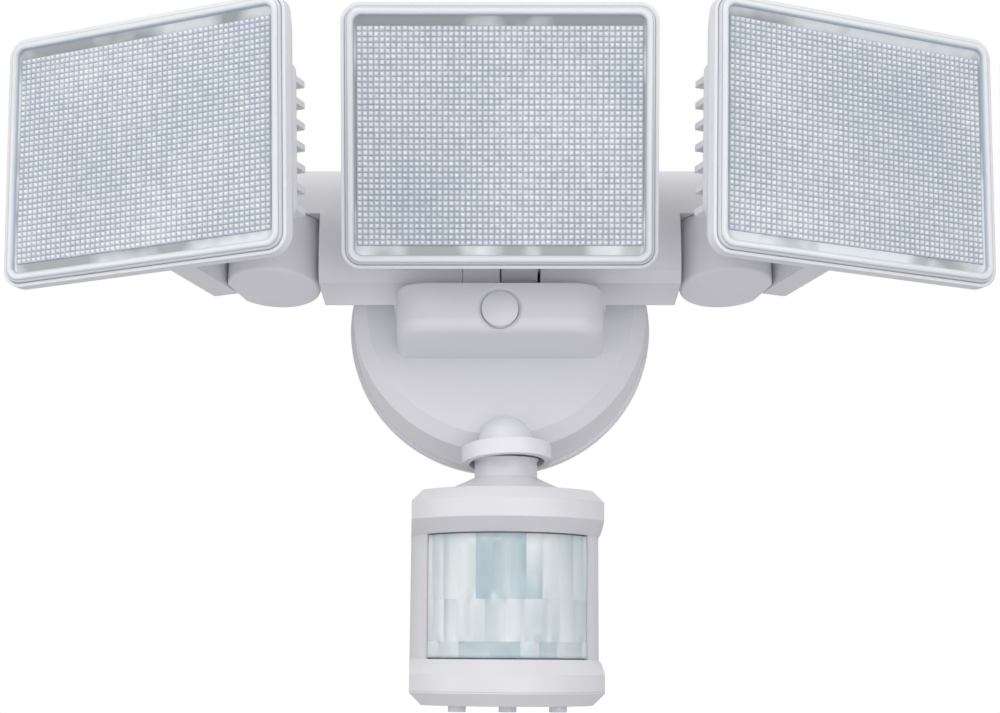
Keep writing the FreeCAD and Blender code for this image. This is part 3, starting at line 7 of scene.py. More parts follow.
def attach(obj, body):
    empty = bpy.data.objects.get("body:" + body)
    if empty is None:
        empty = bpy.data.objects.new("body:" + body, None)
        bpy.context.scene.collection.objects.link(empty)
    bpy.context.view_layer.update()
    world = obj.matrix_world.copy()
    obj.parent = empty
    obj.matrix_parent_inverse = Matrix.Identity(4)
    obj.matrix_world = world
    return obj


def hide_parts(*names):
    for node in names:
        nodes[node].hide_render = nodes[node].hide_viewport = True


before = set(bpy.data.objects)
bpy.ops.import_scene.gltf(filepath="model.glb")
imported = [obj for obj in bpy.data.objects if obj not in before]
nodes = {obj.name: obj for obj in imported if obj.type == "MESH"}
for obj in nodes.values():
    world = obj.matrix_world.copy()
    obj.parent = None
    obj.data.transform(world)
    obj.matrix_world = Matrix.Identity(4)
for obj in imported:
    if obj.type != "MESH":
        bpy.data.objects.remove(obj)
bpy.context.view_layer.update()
scene = bpy.context.scene
mm = 0.001

# Where the heads and the sensor stand, in millimetres and degrees, as in the solids
sideHead = {
    "pan": (87, -48, 12), "yaw": 20, "offset": 15.3, "tilt": 5.4, "reach": 74.4, "rise": 29.5}
centerHead = {"axis": (0, -49, 9.5), "tilt": 20, "reach": 50.7, "rise": 47.7}
sensorHang = {"drop": 57, "lean": 2.3, "out": 38, "yaw": 3, "tilt": 7}


def turned(axis, degrees):
    return Matrix.Rotation(math.radians(degrees), 4, axis)


def moved(x, y, z):
    return Matrix.Translation(Vector((x, y, z)) * mm)


def headMatrix(side):
    if side == 0:
        return (moved(*centerHead["axis"]) @ turned("X", centerHead["tilt"])
                @ moved(0, -centerHead["reach"], centerHead["rise"]))
    x, y, z = sideHead["pan"]
    return (moved(side * x, y, z) @ turned("Z", side * sideHead["yaw"])
            @ moved(side * sideHead["offset"], 0, 0) @ turned("X", sideHead["tilt"])
            @ moved(0, -sideHead["reach"], sideHead["rise"]))


def sensorMatrix():
    lean = math.radians(sensorHang["lean"])
    drop = sensorHang["drop"]
    return (moved(drop * math.sin(lean), -sensorHang["out"], -drop * math.cos(lean))
            @ turned("Z", sensorHang["yaw"]) @ turned("X", sensorHang["tilt"]))


# Materials

class Tree:
    def __init__(self, name):
        self.material = bpy.data.materials.new(name)
        self.material.use_nodes = True
        self.nodes = self.material.node_tree.nodes
        self.links = self.material.node_tree.links
        self.shader = self.nodes["Principled BSDF"]
        coords = self.nodes.new("ShaderNodeTexCoord")
        self.coords = coords.outputs["Object"]

    def node(self, kind, inputs=None, **settings):
        made = self.nodes.new(kind)
        for key, value in settings.items():
            setattr(made, key, value)
        for key, value in (inputs or {}).items():
            if isinstance(value, bpy.types.NodeSocket):
                self.links.new(value, made.inputs[key])
            else:
                made.inputs[key].default_value = value
        return made

    def noise(self, scale, detail, stretch=None):
        source = self.coords
        if stretch:
            source = self.node("ShaderNodeMapping", {"Vector": source, "Scale": stretch}).outputs[0]
        return self.node("ShaderNodeTexNoise", {
            "Vector": source, "Scale": scale, "Detail": detail, "Roughness": 0.5}).outputs[0]

    def ramp(self, factor, stops):
        made = self.node("ShaderNodeValToRGB", {"Fac": factor})
        while len(made.color_ramp.elements) < len(stops):
            made.color_ramp.elements.new(0.5)
        for element, (place, color) in zip(made.color_ramp.elements, stops):
            element.position = place
            element.color = (*color, 1)
        return made.outputs[0]

    def spread(self, factor, low, high):
        return self.node("ShaderNodeMapRange", {
            "Value": factor, "To Min": low, "To Max": high}).outputs[0]

    def bump(self, height, strength, distance, normal=None):
        inputs = {"Height": height, "Strength": strength, "Distance": distance}
        if normal:
            inputs["Normal"] = normal
        return self.node("ShaderNodeBump", inputs).outputs[0]

    def edge(self, radius):
        return self.node("ShaderNodeBevel", {"Radius": radius}, samples=4).outputs[0]

    def into(self, name, value):
        if isinstance(value, bpy.types.NodeSocket):
            self.links.new(value, self.shader.inputs[name])
        else:
            self.shader.inputs[name].default_value = value


def coated(name, light, dark, rough, grain, depth):
    tree = Tree(name)
    cloud = tree.noise(scale=16, detail=4)
    tree.into("Base Color", tree.ramp(cloud, ((0.3, dark), (0.72, light))))
    wear = tree.noise(scale=90, detail=3)
    tree.into("Roughness", tree.spread(wear, low=rough - 0.05, high=rough + 0.07))
    skin = tree.noise(scale=grain, detail=2)
    tree.into("Normal", tree.bump(skin, strength=0.35, distance=depth, normal=tree.edge(0.0005)))
    return tree.material


def brushed(name):
    tree = Tree(name)
    lines = tree.noise(scale=1700, detail=2, stretch=(1.0, 0.05, 0.05))
    tree.into("Base Color", tree.ramp(lines, (
        (0.3, (0.54, 0.55, 0.57)), (0.75, (0.63, 0.64, 0.67)))))
    tree.into("Metallic", 1.0)
    tree.into("Roughness", tree.spread(lines, low=0.24, high=0.42))
    tree.into("Normal", tree.bump(lines, strength=0.25, distance=0.00006, normal=tree.edge(0.0002)))
    return tree.material


def foamed(name):
    tree = Tree(name)
    cells = tree.node("ShaderNodeTexVoronoi", {"Vector": tree.coords, "Scale": 900.0}).outputs[0]
    tree.into("Base Color", tree.ramp(cells, (
        (0.0, (0.03, 0.03, 0.032)), (0.7, (0.09, 0.09, 0.095)))))
    tree.into("Roughness", 0.95)
    tree.into("Normal", tree.bump(cells, strength=0.8, distance=0.0003))
    return tree.material


def circuit(name, ground, track):
    tree = Tree(name)
    bricks = tree.node("ShaderNodeTexBrick", {
        "Vector": tree.coords, "Color1": (*ground, 1), "Color2": (*ground, 1),
        "Mortar": (*track, 1), "Scale": 95.0, "Mortar Size": 0.03, "Brick Width": 1.3,
        "Row Height": 0.45})
    soil = tree.spread(tree.noise(scale=400, detail=2), low=0.0, high=0.25)
    mixed = tree.node("ShaderNodeMix", {"Factor": soil}, data_type="RGBA")
    tree.links.new(bricks.outputs["Color"], mixed.inputs["A"])
    mixed.inputs["B"].default_value = (*track, 1)
    tree.into("Base Color", mixed.outputs["Result"])
    tree.into("Roughness", 0.38)
    tree.into("Normal", tree.bump(bricks.outputs["Fac"], strength=0.3, distance=0.0001))
    return tree.material


def glassFinish(tree, rough, roughSpread, transmission):
    smears = tree.noise(scale=160, detail=2)
    tree.into("Roughness", tree.spread(smears, low=rough, high=rough + roughSpread))
    tree.into("Transmission Weight", transmission)
    tree.into("IOR", 1.5)
    tree.into("Specular IOR Level", 0.6)
    waves = tree.noise(scale=240, detail=2)
    tree.into("Normal", tree.bump(waves, strength=0.08, distance=0.0002))
    return tree.material


def mapShare(tree, mapName):
    place = tree.node("ShaderNodeUVMap", uv_map=mapName).outputs[0]
    return tree.node("ShaderNodeSeparateXYZ", {"Vector": place}).outputs[0]


def plus(tree, first, second):
    return tree.node("ShaderNodeMath", {0: first, 1: second}, operation="ADD").outputs[0]


def shadePatchedGlass(name, tint, dark, cloudScale, cut, rough, transmission):
    tree = Tree(name)
    # Painted shade: dark patches at the darker end of the ramp, on the clear strip between bead and
    # prisms
    cloud = tree.noise(scale=cloudScale, detail=3)
    tree.into("Base Color", tree.ramp(cloud, (
        (cut[0], tuple(c * dark for c in tint)), (cut[1], tint))))
    return glassFinish(tree, rough, 0.06, transmission)


def prismatic(name, paintedGrooveShade, paintedPeakHighlight, rough, transmission):
    tree = Tree(name)
    # Random tone patches over the field and painted glints on single prisms
    toneAndPaintedGlints = plus(tree, tree.spread(tree.noise(scale=22, detail=3), low=-0.35, high=0.3),
                 tree.spread(tree.noise(scale=430, detail=1), low=-0.26, high=0.26))
    level = plus(tree, mapShare(tree, "prismMap"), toneAndPaintedGlints)
    # By prism height: painted shade in the grooves and a painted highlight on the tops of the
    # prisms
    tree.into("Base Color", tree.ramp(level, ((0.05, paintedGrooveShade), (0.9, paintedPeakHighlight))))
    return glassFinish(tree, rough, 0.08, transmission)


def beaded(name, stops, rough, transmission):
    tree = Tree(name)
    # The colour bands follow the rim profile: painted highlight on the bead, painted shade in the
    # groove and at the bed
    place = plus(tree, mapShare(tree, "prismMap"),
                 tree.spread(tree.noise(scale=26, detail=3), low=-0.06, high=0.06))
    tree.into("Base Color", tree.ramp(place, stops))
    return glassFinish(tree, rough, 0.06, transmission)


def segmented(name, pale, deep, transmission):
    tree = Tree(name)
    # Vertically stretched noise: painted highlight streaks in the colour, and rougher patches
    cloud = tree.noise(scale=40, detail=3, stretch=(1.0, 1.0, 0.3))
    paintedShading = mapShare(tree, "segmentPaintedShading")
    place = tree.node("ShaderNodeUVMap", uv_map="segmentMap").outputs[0]
    grooves = tree.node("ShaderNodeTexWave", {"Vector": place, "Scale": 0.55, "Distortion": 0.0},
                        wave_type="RINGS", rings_direction="Z", wave_profile="SAW").outputs[1]
    # Painted highlight streaks, plus the fine ring grooves of the lens
    paintedStreaksAndRings = plus(tree, tree.spread(cloud, low=-0.3, high=0.3),
                tree.spread(grooves, low=-0.07, high=0.07))
    # The segment tones are painted light and shade of the facets
    tree.into("Base Color", tree.ramp(plus(tree, paintedShading, paintedStreaksAndRings), ((0.1, pale), (0.95, deep))))
    tree.into("Roughness", tree.spread(cloud, low=0.14, high=0.26))
    tree.into("Transmission Weight", transmission)
    tree.into("IOR", 1.49)
    tree.into("Specular IOR Level", 0.55)
    tree.into("Normal", tree.bump(grooves, tree.spread(paintedShading, low=0.02, high=0.3), distance=0.0003))
    return tree.material


materials = {
    "casting": coated("castPaint", (0.785, 0.785, 0.815), (0.75, 0.75, 0.78), 0.36, 1400, 0.00005),
    "plastic": coated(
        "shellPlastic", (0.715, 0.71, 0.74), (0.685, 0.68, 0.71), 0.34, 1900, 0.00003),
    "steel": brushed("zincSteel"),
    "foam": foamed("gasketFoam"),
    "seal": coated("sealRubber", (0.5, 0.5, 0.52), (0.42, 0.42, 0.44), 0.6, 900, 0.00006),
    "reflector": coated("reflectorWhite", (0.86, 0.87, 0.88), (0.8, 0.81, 0.82), 0.3, 700, 0.00004),
    "ledBoard": circuit("whiteBoard", (0.74, 0.76, 0.76), (0.62, 0.65, 0.64)),
    "board": circuit("greenBoard", (0.02, 0.13, 0.05), (0.05, 0.22, 0.09)),
    "phosphor": coated("phosphor", (0.85, 0.66, 0.16), (0.78, 0.58, 0.12), 0.45, 800, 0.00005),
    "dark": coated(
        "darkPlastic", (0.035, 0.035, 0.038), (0.02, 0.02, 0.022), 0.45, 1500, 0.00005),
    # Prism glass: painted groove shade and painted peak highlight colours
    "prism": prismatic("prismGlass", (0.46, 0.53, 0.62), (1.0, 1.0, 1.0), 0.10, 0.14),
    # Rim glass: white painted highlight along the bead, darker painted shade in the groove and down
    # to the bed
    "rim": beaded("rimGlass", (    # from the flange, over the bead, to the bed of the prisms
        (0.0, (0.72, 0.76, 0.80)), (0.34, (0.84, 0.88, 0.92)), (0.40, (0.56, 0.63, 0.70)),
        (0.47, (0.95, 0.98, 1.0)), (0.66, (0.97, 0.99, 1.0)), (0.80, (0.72, 0.79, 0.87)),
        (0.96, (0.50, 0.57, 0.67))), 0.06, 0.25),
    # Strip glass: painted shade patches between the bead and the prisms
    "strip": shadePatchedGlass("stripGlass", (0.92, 0.97, 1.0), 0.5, 30.0, (0.46, 0.57), 0.12, 0.24),
    # Segment lens: pale and deep are the ends of its painted light and shade
    "lens": segmented("segmentLens", (0.85, 0.89, 0.90), (0.50, 0.62, 0.68), 0.2),
}


def perHead(piece):
    return [side + piece for side in ("left", "center", "right")]


finishes = {
    "casting": ["canopy", "wiring_box", "arm_housing", "arm_cover", "center_hinge_block",
                "left_knuckle", "right_knuckle", "bolt_plug"] + perHead("_head_housing"),
    "plastic": ["swivel_ring", "swivel_seat", "sensor_neck", "sensor_housing", "sensor_base",
                "sensor_neck_nut", "time_knob", "brightness_knob", "range_knob"],
    "foam": ["wall_gasket"],
    "board": ["driver_board", "sensor_control_board", "sensor_detector_board"],
    "dark": ["driver_components", "sensor_trimmers"],
    "seal": perHead("_lens_seal"),
    "reflector": perHead("_reflector"),
    "ledBoard": perHead("_led_board"),
    "phosphor": perHead("_leds"),
    "lens": ["sensor_lens"],
    "rim": perHead("_lens"),
}
finishOf = {name: finish for finish, names in finishes.items() for name in names}
for name, node in nodes.items():    # whatever isn't listed is zinc plated steel
    node.data.materials.clear()
    node.data.materials.append(materials[finishOf.get(name, "steel")])
print("materials on", len(nodes), "nodes")


# Mesh helpers

def newPiece(name, bm, mats):
    mesh = bpy.data.meshes.new(name)
    bmesh.ops.recalc_face_normals(bm, faces=bm.faces)
    bm.to_mesh(mesh)
    bm.free()
    piece = bpy.data.objects.new(name, mesh)
    scene.collection.objects.link(piece)
    for mat in mats:
        mesh.materials.append(mat)
    return piece


def ringPoints(width, height, corner, depth, steps=7):
    points = []
    for sx, sz, start in ((1, 1, 0), (-1, 1, 90), (-1, -1, 180), (1, -1, 270)):
        cx, cz = sx * (width / 2 - corner), sz * (height / 2 - corner)
        for step in range(steps + 1):
            angle = math.radians(start + 90 * step / steps)
            points.append(Vector((cx + corner * math.cos(angle), depth,
                                  cz + corner * math.sin(angle))) * mm)
    return points


def loftRings(bm, rings):
    loops = [[bm.verts.new(point) for point in ring] for ring in rings]
    count = len(loops[0])
    for low, high in zip(loops, loops[1:]):
        for i in range(count):
            after = (i + 1) % count
            bm.faces.new((low[i], low[after], high[after], high[i])).smooth = True
    bm.faces.new(loops[0])
    bm.faces.new(list(reversed(loops[-1])))


def grown(name, tree, inputs):
    seed = bpy.data.objects.new(name + "Seed", bpy.data.meshes.new(name + "Seed"))
    scene.collection.objects.link(seed)
    modifier = seed.modifiers.new("grow", "NODES")
    modifier.node_group = tree
    for item in tree.interface.items_tree:
        if item.item_type == "SOCKET" and item.in_out == "INPUT" and item.name in inputs:
            modifier[item.identifier] = inputs[item.name]
    ready = seed.evaluated_get(bpy.context.evaluated_depsgraph_get())
    made = bpy.data.meshes.new_from_object(ready)
    made.name = name
    bpy.data.objects.remove(seed)
    return made


# Prismatic glasses: a clear rounded rim round a slab of small pressed prisms

glass = {
    "width": 110.4, "height": 91.6, "corner": 5.5, "thick": 4.6, "bead": 3.2,
    "bedSide": 4.1, "bedTop": 6.8, "bedDepth": 1.9, "slab": 0.9,
    "columns": 50, "rows": 39, "prismHeight": 0.75, "prismTop": 0.14, "skew": 0.13, "seed": 4}
rimSlot, prismSlot, stripSlot = 0, 1, 2


def prismTree():
    tree = bpy.data.node_groups.new("prismField", "GeometryNodeTree")
    tree.interface.new_socket("Geometry", in_out="OUTPUT", socket_type="NodeSocketGeometry")
    for name, kind in (
            ("Width", "Float"), ("Height", "Float"), ("Columns", "Int"), ("Rows", "Int"),
            ("Prism Height", "Float"), ("Prism Top", "Float"), ("Skew", "Float"), ("Seed", "Int"),
            ("Material", "Material")):
        tree.interface.new_socket(name, in_out="INPUT", socket_type="NodeSocket" + kind)
    add, join = tree.nodes.new, tree.links.new
    source, out = add("NodeGroupInput").outputs, add("NodeGroupOutput")
    grid, push = add("GeometryNodeMeshGrid"), add("GeometryNodeExtrudeMesh")
    join(source["Width"], grid.inputs["Size X"])
    join(source["Height"], grid.inputs["Size Y"])
    for name, socket in (("Columns", "Vertices X"), ("Rows", "Vertices Y")):
        oneMore = add("ShaderNodeMath")
        oneMore.inputs[1].default_value = 1
        join(source[name], oneMore.inputs[0])
        join(oneMore.outputs[0], grid.inputs[socket])
    push.inputs["Individual"].default_value = True
    join(grid.outputs["Mesh"], push.inputs["Mesh"])
    join(source["Prism Height"], push.inputs["Offset Scale"])
    shrink = add("GeometryNodeScaleElements")
    join(push.outputs["Mesh"], shrink.inputs["Geometry"])
    join(push.outputs["Top"], shrink.inputs["Selection"])
    join(source["Prism Top"], shrink.inputs["Scale"])
    lean, random = add("GeometryNodeSetPosition"), add("FunctionNodeRandomValue")
    random.data_type = "FLOAT_VECTOR"
    low, high = add("ShaderNodeCombineXYZ"), add("ShaderNodeCombineXYZ")
    minus = add("ShaderNodeMath")
    minus.operation = "MULTIPLY"
    minus.inputs[1].default_value = -1
    join(source["Skew"], minus.inputs[0])
    for axis in range(3):
        join(minus.outputs[0], low.inputs[axis])
        join(source["Skew"], high.inputs[axis])
    join(low.outputs[0], random.inputs["Min"])
    join(high.outputs[0], random.inputs["Max"])
    join(source["Seed"], random.inputs["Seed"])
    join(shrink.outputs["Geometry"], lean.inputs["Geometry"])
    join(push.outputs["Top"], lean.inputs["Selection"])
    join(random.outputs["Value"], lean.inputs["Offset"])
    real, paint = add("GeometryNodeRealizeInstances"), add("GeometryNodeSetMaterial")
    join(lean.outputs["Geometry"], real.inputs["Geometry"])
    join(real.outputs["Geometry"], paint.inputs["Geometry"])
    join(source["Material"], paint.inputs["Material"])
    join(paint.outputs["Geometry"], out.inputs["Geometry"])
    return tree


def prismSlab():
    wide = glass["width"] - 2 * glass["bedSide"]
    high = glass["height"] - 2 * glass["bedTop"]
    field = grown("prismMesh", prismTree(), {
        "Width": wide * mm, "Height": high * mm, "Columns": glass["columns"], "Rows": glass["rows"],
        "Prism Height": glass["prismHeight"] * mm, "Prism Top": glass["prismTop"],
        "Skew": glass["skew"] * mm, "Seed": glass["seed"], "Material": materials["prism"]})
    bm = bmesh.new()
    bm.from_mesh(field)
    bpy.data.meshes.remove(field)
    border = [edge for edge in bm.edges if edge.is_boundary]
    sides = bmesh.ops.extrude_edge_only(bm, edges=border)["geom"]
    lowered = [item for item in sides if isinstance(item, bmesh.types.BMVert)]
    bmesh.ops.translate(bm, verts=lowered, vec=(0, 0, -glass["slab"] * mm))
    back = [item for item in sides if isinstance(item, bmesh.types.BMEdge) and item.is_boundary]
    bmesh.ops.edgeloop_fill(bm, edges=back)
    # Height on each prism, which the glass colour turns into painted groove shade and peak
    # highlight
    layer = bm.loops.layers.uv.new("prismMap")
    for face in bm.faces:
        for loop in face.loops:
            loop[layer].uv = (loop.vert.co.z / (glass["prismHeight"] * mm), 0)
    bm.transform(Matrix.Translation((0, glass["bedDepth"] * mm, 0)) @ turned("X", 90))
    made = bpy.data.meshes.new("prismSlab")
    bmesh.ops.recalc_face_normals(bm, faces=bm.faces)
    bm.to_mesh(made)
    bm.free()
    return made


def buildGlass(side, name, slab):
    w, h, thick, bead = glass["width"], glass["height"], glass["thick"], glass["bead"]
    profile = (    # inset from the edge and depth behind the front: flange, groove, bead, bed
        (0.3, thick), (0.0, thick - 0.3), (0.0, 1.5), (0.1, 1.28), (0.3, 1.2), (0.62, 1.2),
        (0.76, 1.05), (0.84, 0.6), (1.0, 0.25), (1.35, 0.04), (1.7, 0.0), (bead - 0.9, 0.0),
        (bead - 0.5, 0.06), (bead - 0.15, 0.3), (bead, 0.75), (bead + 0.05, 1.45),
        (bead + 0.2, 1.6))
    rings = [ringPoints(w - 2 * inset, h - 2 * inset, glass["corner"] - 0.8 * inset, depth)
             for inset, depth in profile]
    bedW, bedH, bedDepth = w - 2 * glass["bedSide"], h - 2 * glass["bedTop"], glass["bedDepth"]
    rings.append(ringPoints(bedW + 0.4, bedH + 0.4, 0.5, bedDepth - 0.15))
    rings.append(ringPoints(bedW - 0.1, bedH - 0.1, 0.4, bedDepth + 0.4))
    bm = bmesh.new()
    layer = bm.loops.layers.uv.new("prismMap")
    loftRings(bm, rings)
    bm.faces.ensure_lookup_table()
    around, levels = len(rings[0]), len(profile) - 1
    # Position along the rim profile, which the rim colour turns into bands of painted highlight and
    # shade
    for index, face in enumerate(bm.faces):
        for place, loop in enumerate(face.loops):
            loop[layer].uv = ((index // around + (1 if place > 1 else 0)) / levels, 0)
    for face in bm.faces[around * levels:-2]:
        face.material_index = stripSlot
    bm.faces[-1].material_index = stripSlot
    count = len(bm.faces)
    bm.from_mesh(slab)
    bm.faces.ensure_lookup_table()
    for face in bm.faces[count:]:
        face.material_index = prismSlot
    slots = {rimSlot: "rim", prismSlot: "prism", stripSlot: "strip"}
    piece = newPiece(name, bm, [materials[slots[slot]] for slot in sorted(slots)])
    piece.data.transform(headMatrix(side))
    return piece


slabMesh = prismSlab()
for side, name in ((-1, "left"), (0, "center"), (1, "right")):
    piece = buildGlass(side, name + "_prism_glass", slabMesh)
    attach(piece, name + "_head")
    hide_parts(name + "_lens")
bpy.data.meshes.remove(slabMesh)
print("prismatic glasses done")


# Segmented lens of the sensor: three tiers of small lenses in one curved skin

segments = {
    "centerBack": 3, "front": 34.7, "back": 33.5, "half": 58.2, "column": 0.9, "gap": 0.35,
    "rows": 5, "bulge": 0.5, "crownShare": 0.25, "tiltStep": 0.22,
    # Painted light and shade of the segments: pale and deep tones, and gradients down (fall) and
    # across (side) each segment
    "paleTone": 0.3, "deepTone": 0.8, "toneStep": 0.12,
    "fadingFall": 1.1, "fallStep": 0.25, "sideStep": 0.35,
    "flange": {
        "half": 60.2, "front": 32.85, "back": 32.0, "top": 33.8, "bottom": 82.4, "columns": 48},
    "ringShare": 0.65,    # how far down its segment each set of ring grooves is centred
    "tiers": (    # edges in degrees; deep segments get darker painted shade, fading ones painted shade that darkens downwards
        {"top": 35.85, "bottom": 59.3, "deep": (4, 5, 6), "fading": (7,),
         "edges": (-54, -43.5, -32.8, -20.9, -10.4, 0, 10, 20.3, 31.8, 43.5, 54)},
        {"top": 59.3, "bottom": 74.4, "deep": (), "fading": (),
         "edges": (-52, -42.9, -34.4, -24.8, -14.9, -2.4, 8.6, 22.9, 32.4, 45.4)},
        {"top": 74.4, "bottom": 80.45, "deep": (2, 3, 5), "fading": (),
         "edges": (-47.3, -31.8, -12, 6.4, 18.1, 30.3, 52.1)})}


def lensPoint(angle, radius, drop):
    turn = math.radians(angle)
    depth = segments["centerBack"] - radius * math.cos(turn)
    return Vector((radius * math.sin(turn), depth, -drop)) * mm


def segmentSpans(tier):
    stops = (-segments["half"],) + tier["edges"] + (segments["half"],)
    return list(zip(stops, stops[1:]))


def spanAt(spans, angle):
    return next(i for i, (low, high) in enumerate(spans) if angle <= high + 1e-6)


def lensAngles():
    stops = {-segments["half"], segments["half"]}
    for tier in segments["tiers"]:
        stops.update(tier["edges"])
    stops = sorted(stops)
    angles = []
    for low, high in zip(stops, stops[1:]):
        count = max(1, round((high - low) / segments["column"]))
        angles += [low + (high - low) * step / count for step in range(count)]
    return angles + [segments["half"]]


def lensRow(angles, spans, crown, drop):
    points = []
    for angle in angles:
        index = spanAt(spans, angle)
        low, high = spans[index]
        across = 2 * (angle - low) / (high - low) - 1
        crowned = 1 - segments["crownShare"] * (1 - crown)
        swell = segments["bulge"] * ((1 - across ** 2) * crowned - 1)
        lean = segments["tiltStep"] * across * (1 if index % 2 else -0.5) * (1 - abs(across))
        points.append(lensPoint(angle, segments["front"] + swell + lean, drop))
    return points


def mapSegment(face, tier, spans, index, placeLayer, paintedShadingLayer):
    # Sines and cosines of the index vary the tones from segment to segment without random draws
    low, high = spans[index]
    # Deep segments start from a darker painted shade
    base = segments["deepTone"] if index in tier["deep"] else segments["paleTone"]
    base += segments["toneStep"] * math.sin(index * 2.4 + tier["top"])
    # Painted shade and highlight: a gradient down each segment and one across it
    fall = segments["fallStep"] * math.cos(index * 1.7)
    if index in tier["fading"]:
        fall = segments["fadingFall"]
    side = segments["sideStep"] * math.sin(index * 2.1 + 1)
    share = segments["ringShare"]
    ringDrop = (1 - share) * tier["top"] + share * tier["bottom"]
    for loop in face.loops:
        spot = loop.vert.co / mm
        turn = math.degrees(math.atan2(spot.x, segments["centerBack"] - spot.y))
        down = (-spot.z - tier["top"]) / (tier["bottom"] - tier["top"]) - 0.5
        across = (turn - (low + high) / 2) / (high - low)
        loop[paintedShadingLayer].uv = (base + fall * down + side * across, 0)
        loop[placeLayer].uv = (math.radians(turn - (low + high) / 2) * segments["front"],
                               -spot.z - ringDrop)


def lensSkin(bm):
    placeLayer = bm.loops.layers.uv.new("segmentMap")
    # UV map carrying the painted light and shade of each segment
    paintedShadingLayer = bm.loops.layers.uv.new("segmentPaintedShading")
    angles, rows = lensAngles(), []
    for tier in segments["tiers"]:
        spans = segmentSpans(tier)
        for level in range(segments["rows"] + 1):
            share = level / segments["rows"]
            drop = tier["top"] + (tier["bottom"] - tier["top"]) * share
            drop += segments["gap"] / 2 * (1 - 2 * share)
            rows.append((lensRow(angles, spans, 1 - (2 * share - 1) ** 4, drop), tier, spans))
    front = [[bm.verts.new(point) for point in points] for points, tier, spans in rows]
    back = [[bm.verts.new(lensPoint(angle, segments["back"], -front[row][0].co.z / mm))
             for angle in angles] for row in range(len(front))]
    for row in range(len(front) - 1):
        tier, spans = rows[row][1:]
        for column in range(len(angles) - 1):
            face = bm.faces.new((front[row][column], front[row][column + 1],
                                 front[row + 1][column + 1], front[row + 1][column]))
            face.smooth = True
            index = spanAt(spans, (angles[column] + angles[column + 1]) / 2)
            mapSegment(face, tier, spans, index, placeLayer, paintedShadingLayer)
            face = bm.faces.new((back[row][column + 1], back[row][column],
                                 back[row + 1][column], back[row + 1][column + 1]))
            face.smooth = True
        for column in (0, -1):
            bm.faces.new((front[row][column], front[row + 1][column],
                          back[row + 1][column], back[row][column]))
    for row in (0, -1):
        for column in range(len(angles) - 1):
            bm.faces.new((front[row][column], back[row][column],
                          back[row][column + 1], front[row][column + 1]))


def lensFlange(bm):
    flange = segments["flange"]
    half, columns = flange["half"], flange["columns"]
    corners = (("front", "top"), ("back", "top"), ("back", "bottom"), ("front", "bottom"))
    angles = [-half + 2 * half * step / columns for step in range(columns + 1)]
    rings = [[bm.verts.new(lensPoint(angle, flange[radius], flange[drop])) for angle in angles]
             for radius, drop in corners]
    for low, high in zip(rings, rings[1:] + rings[:1]):
        for step in range(columns):
            bm.faces.new((low[step], low[step + 1], high[step + 1], high[step])).smooth = True
    for step in (0, columns):
        bm.faces.new([ring[step] for ring in rings])


def buildSegmentLens():
    bm = bmesh.new()
    lensSkin(bm)
    lensFlange(bm)
    piece = newPiece("segment_lens", bm, [materials["lens"]])
    piece.data.transform(sensorMatrix())
    return piece


lensPiece = buildSegmentLens()
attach(lensPiece, "sensor")
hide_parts("sensor_lens")
print("segment lens done")


# Floor, light and camera

studio = {
    "floor": {"size": 8, "place": (0, -1.0, -0.6), "rough": 0.6, "thrown": (0.64, 0.64, 0.66, 1),
              "pale": ((0.3, (0.86, 0.86, 0.87)), (0.7, (0.9, 0.9, 0.91)))},
    "sky": {"strength": 0.74, "low": (0.2, (0.36, 0.37, 0.40)), "high": (0.8, (1.0, 1.0, 1.0))},
    "lights": (    # name, place, target, sizes, power, roll
        ("keyLight", (-0.7, -1.6, 1.3), (0, -0.05, 0), (1.0, 1.0), 12.5, 0),
        ("fillLight", (1.1, -1.5, 0.3), (0, -0.05, 0), (1.0, 1.2), 6, 0),
        ("sideCard", (-1.3, -0.8, -0.15), (0, -0.05, 0), (0.8, 1.2), 3.5, 0),
        ("bandCard", (0.28, -1.15, -0.28), (0, -0.1, 0.04), (0.5, 1.2), 2.5, 25)),
    "camera": {"place": (0, -667, -215), "pitch": 17.05, "lens": 61.2, "sensor": 36}}


def buildFloor():
    values = studio["floor"]
    bpy.ops.mesh.primitive_plane_add(size=values["size"], location=values["place"])
    floor = bpy.context.object
    floor.name = "floor"
    tree = Tree("floorPaint")
    pale = tree.ramp(tree.noise(scale=3, detail=3), values["pale"])
    seen = tree.node("ShaderNodeLightPath").outputs["Is Camera Ray"]
    mixed = tree.node("ShaderNodeMix", {"Factor": seen}, data_type="RGBA")
    mixed.inputs["A"].default_value = values["thrown"]    # what the floor throws up at the light
    tree.links.new(pale, mixed.inputs["B"])
    tree.into("Base Color", mixed.outputs["Result"])
    tree.into("Roughness", values["rough"])
    floor.data.materials.append(tree.material)


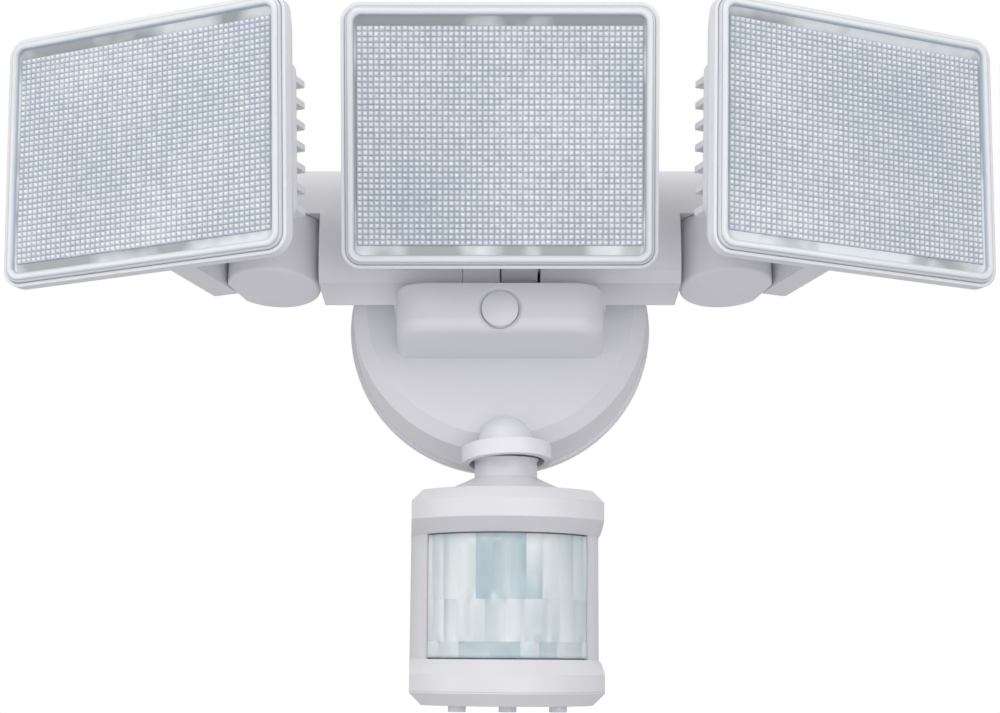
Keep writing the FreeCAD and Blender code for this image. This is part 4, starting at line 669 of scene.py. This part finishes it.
def buildLight(name, place, target, sizes, power, roll):
    data = bpy.data.lights.new(name, "AREA")
    data.shape = "RECTANGLE"
    data.size, data.size_y = sizes
    data.energy = power
    light = bpy.data.objects.new(name, data)
    light.location = place
    aim = (Vector(target) - Vector(place)).to_track_quat("-Z", "Y").to_matrix()
    light.rotation_euler = (aim @ Matrix.Rotation(math.radians(roll), 3, "Z")).to_euler()
    scene.collection.objects.link(light)


def buildSky():
    world = bpy.data.worlds.new("studio")
    world.use_nodes = True
    scene.world = world
    tree = world.node_tree
    add, join = tree.nodes.new, tree.links.new
    for old in list(tree.nodes):
        tree.nodes.remove(old)
    out, mix = add("ShaderNodeOutputWorld"), add("ShaderNodeMixShader")
    path, coords = add("ShaderNodeLightPath"), add("ShaderNodeTexCoord")
    split, ramp = add("ShaderNodeSeparateXYZ"), add("ShaderNodeValToRGB")
    scale = add("ShaderNodeMapRange")
    scale.inputs["From Min"].default_value = -1
    for element, key in zip(ramp.color_ramp.elements, ("low", "high")):
        place, color = studio["sky"][key]
        element.position = place
        element.color = (*color, 1)
    soft, white = add("ShaderNodeBackground"), add("ShaderNodeBackground")
    soft.inputs["Strength"].default_value = studio["sky"]["strength"]
    white.inputs["Color"].default_value = (1, 1, 1, 1)
    join(coords.outputs["Generated"], split.inputs[0])
    join(split.outputs["Z"], scale.inputs["Value"])
    join(scale.outputs[0], ramp.inputs["Fac"])
    join(ramp.outputs["Color"], soft.inputs["Color"])
    join(path.outputs["Is Camera Ray"], mix.inputs["Fac"])
    join(soft.outputs[0], mix.inputs[1])
    join(white.outputs[0], mix.inputs[2])
    join(mix.outputs[0], out.inputs["Surface"])


def buildCamera():
    values = studio["camera"]
    data = bpy.data.cameras.new("photoCamera")
    data.lens = values["lens"]
    data.sensor_width = values["sensor"]
    camera = bpy.data.objects.new("photoCamera", data)
    camera.location = Vector(values["place"]) * mm
    camera.rotation_euler = (math.radians(90 + values["pitch"]), 0, 0)
    scene.collection.objects.link(camera)
    bpy.context.scene.camera = camera


buildFloor()
buildSky()
for values in studio["lights"]:
    buildLight(*values)
buildCamera()
scene.view_settings.view_transform = "Standard"
print("stage done")
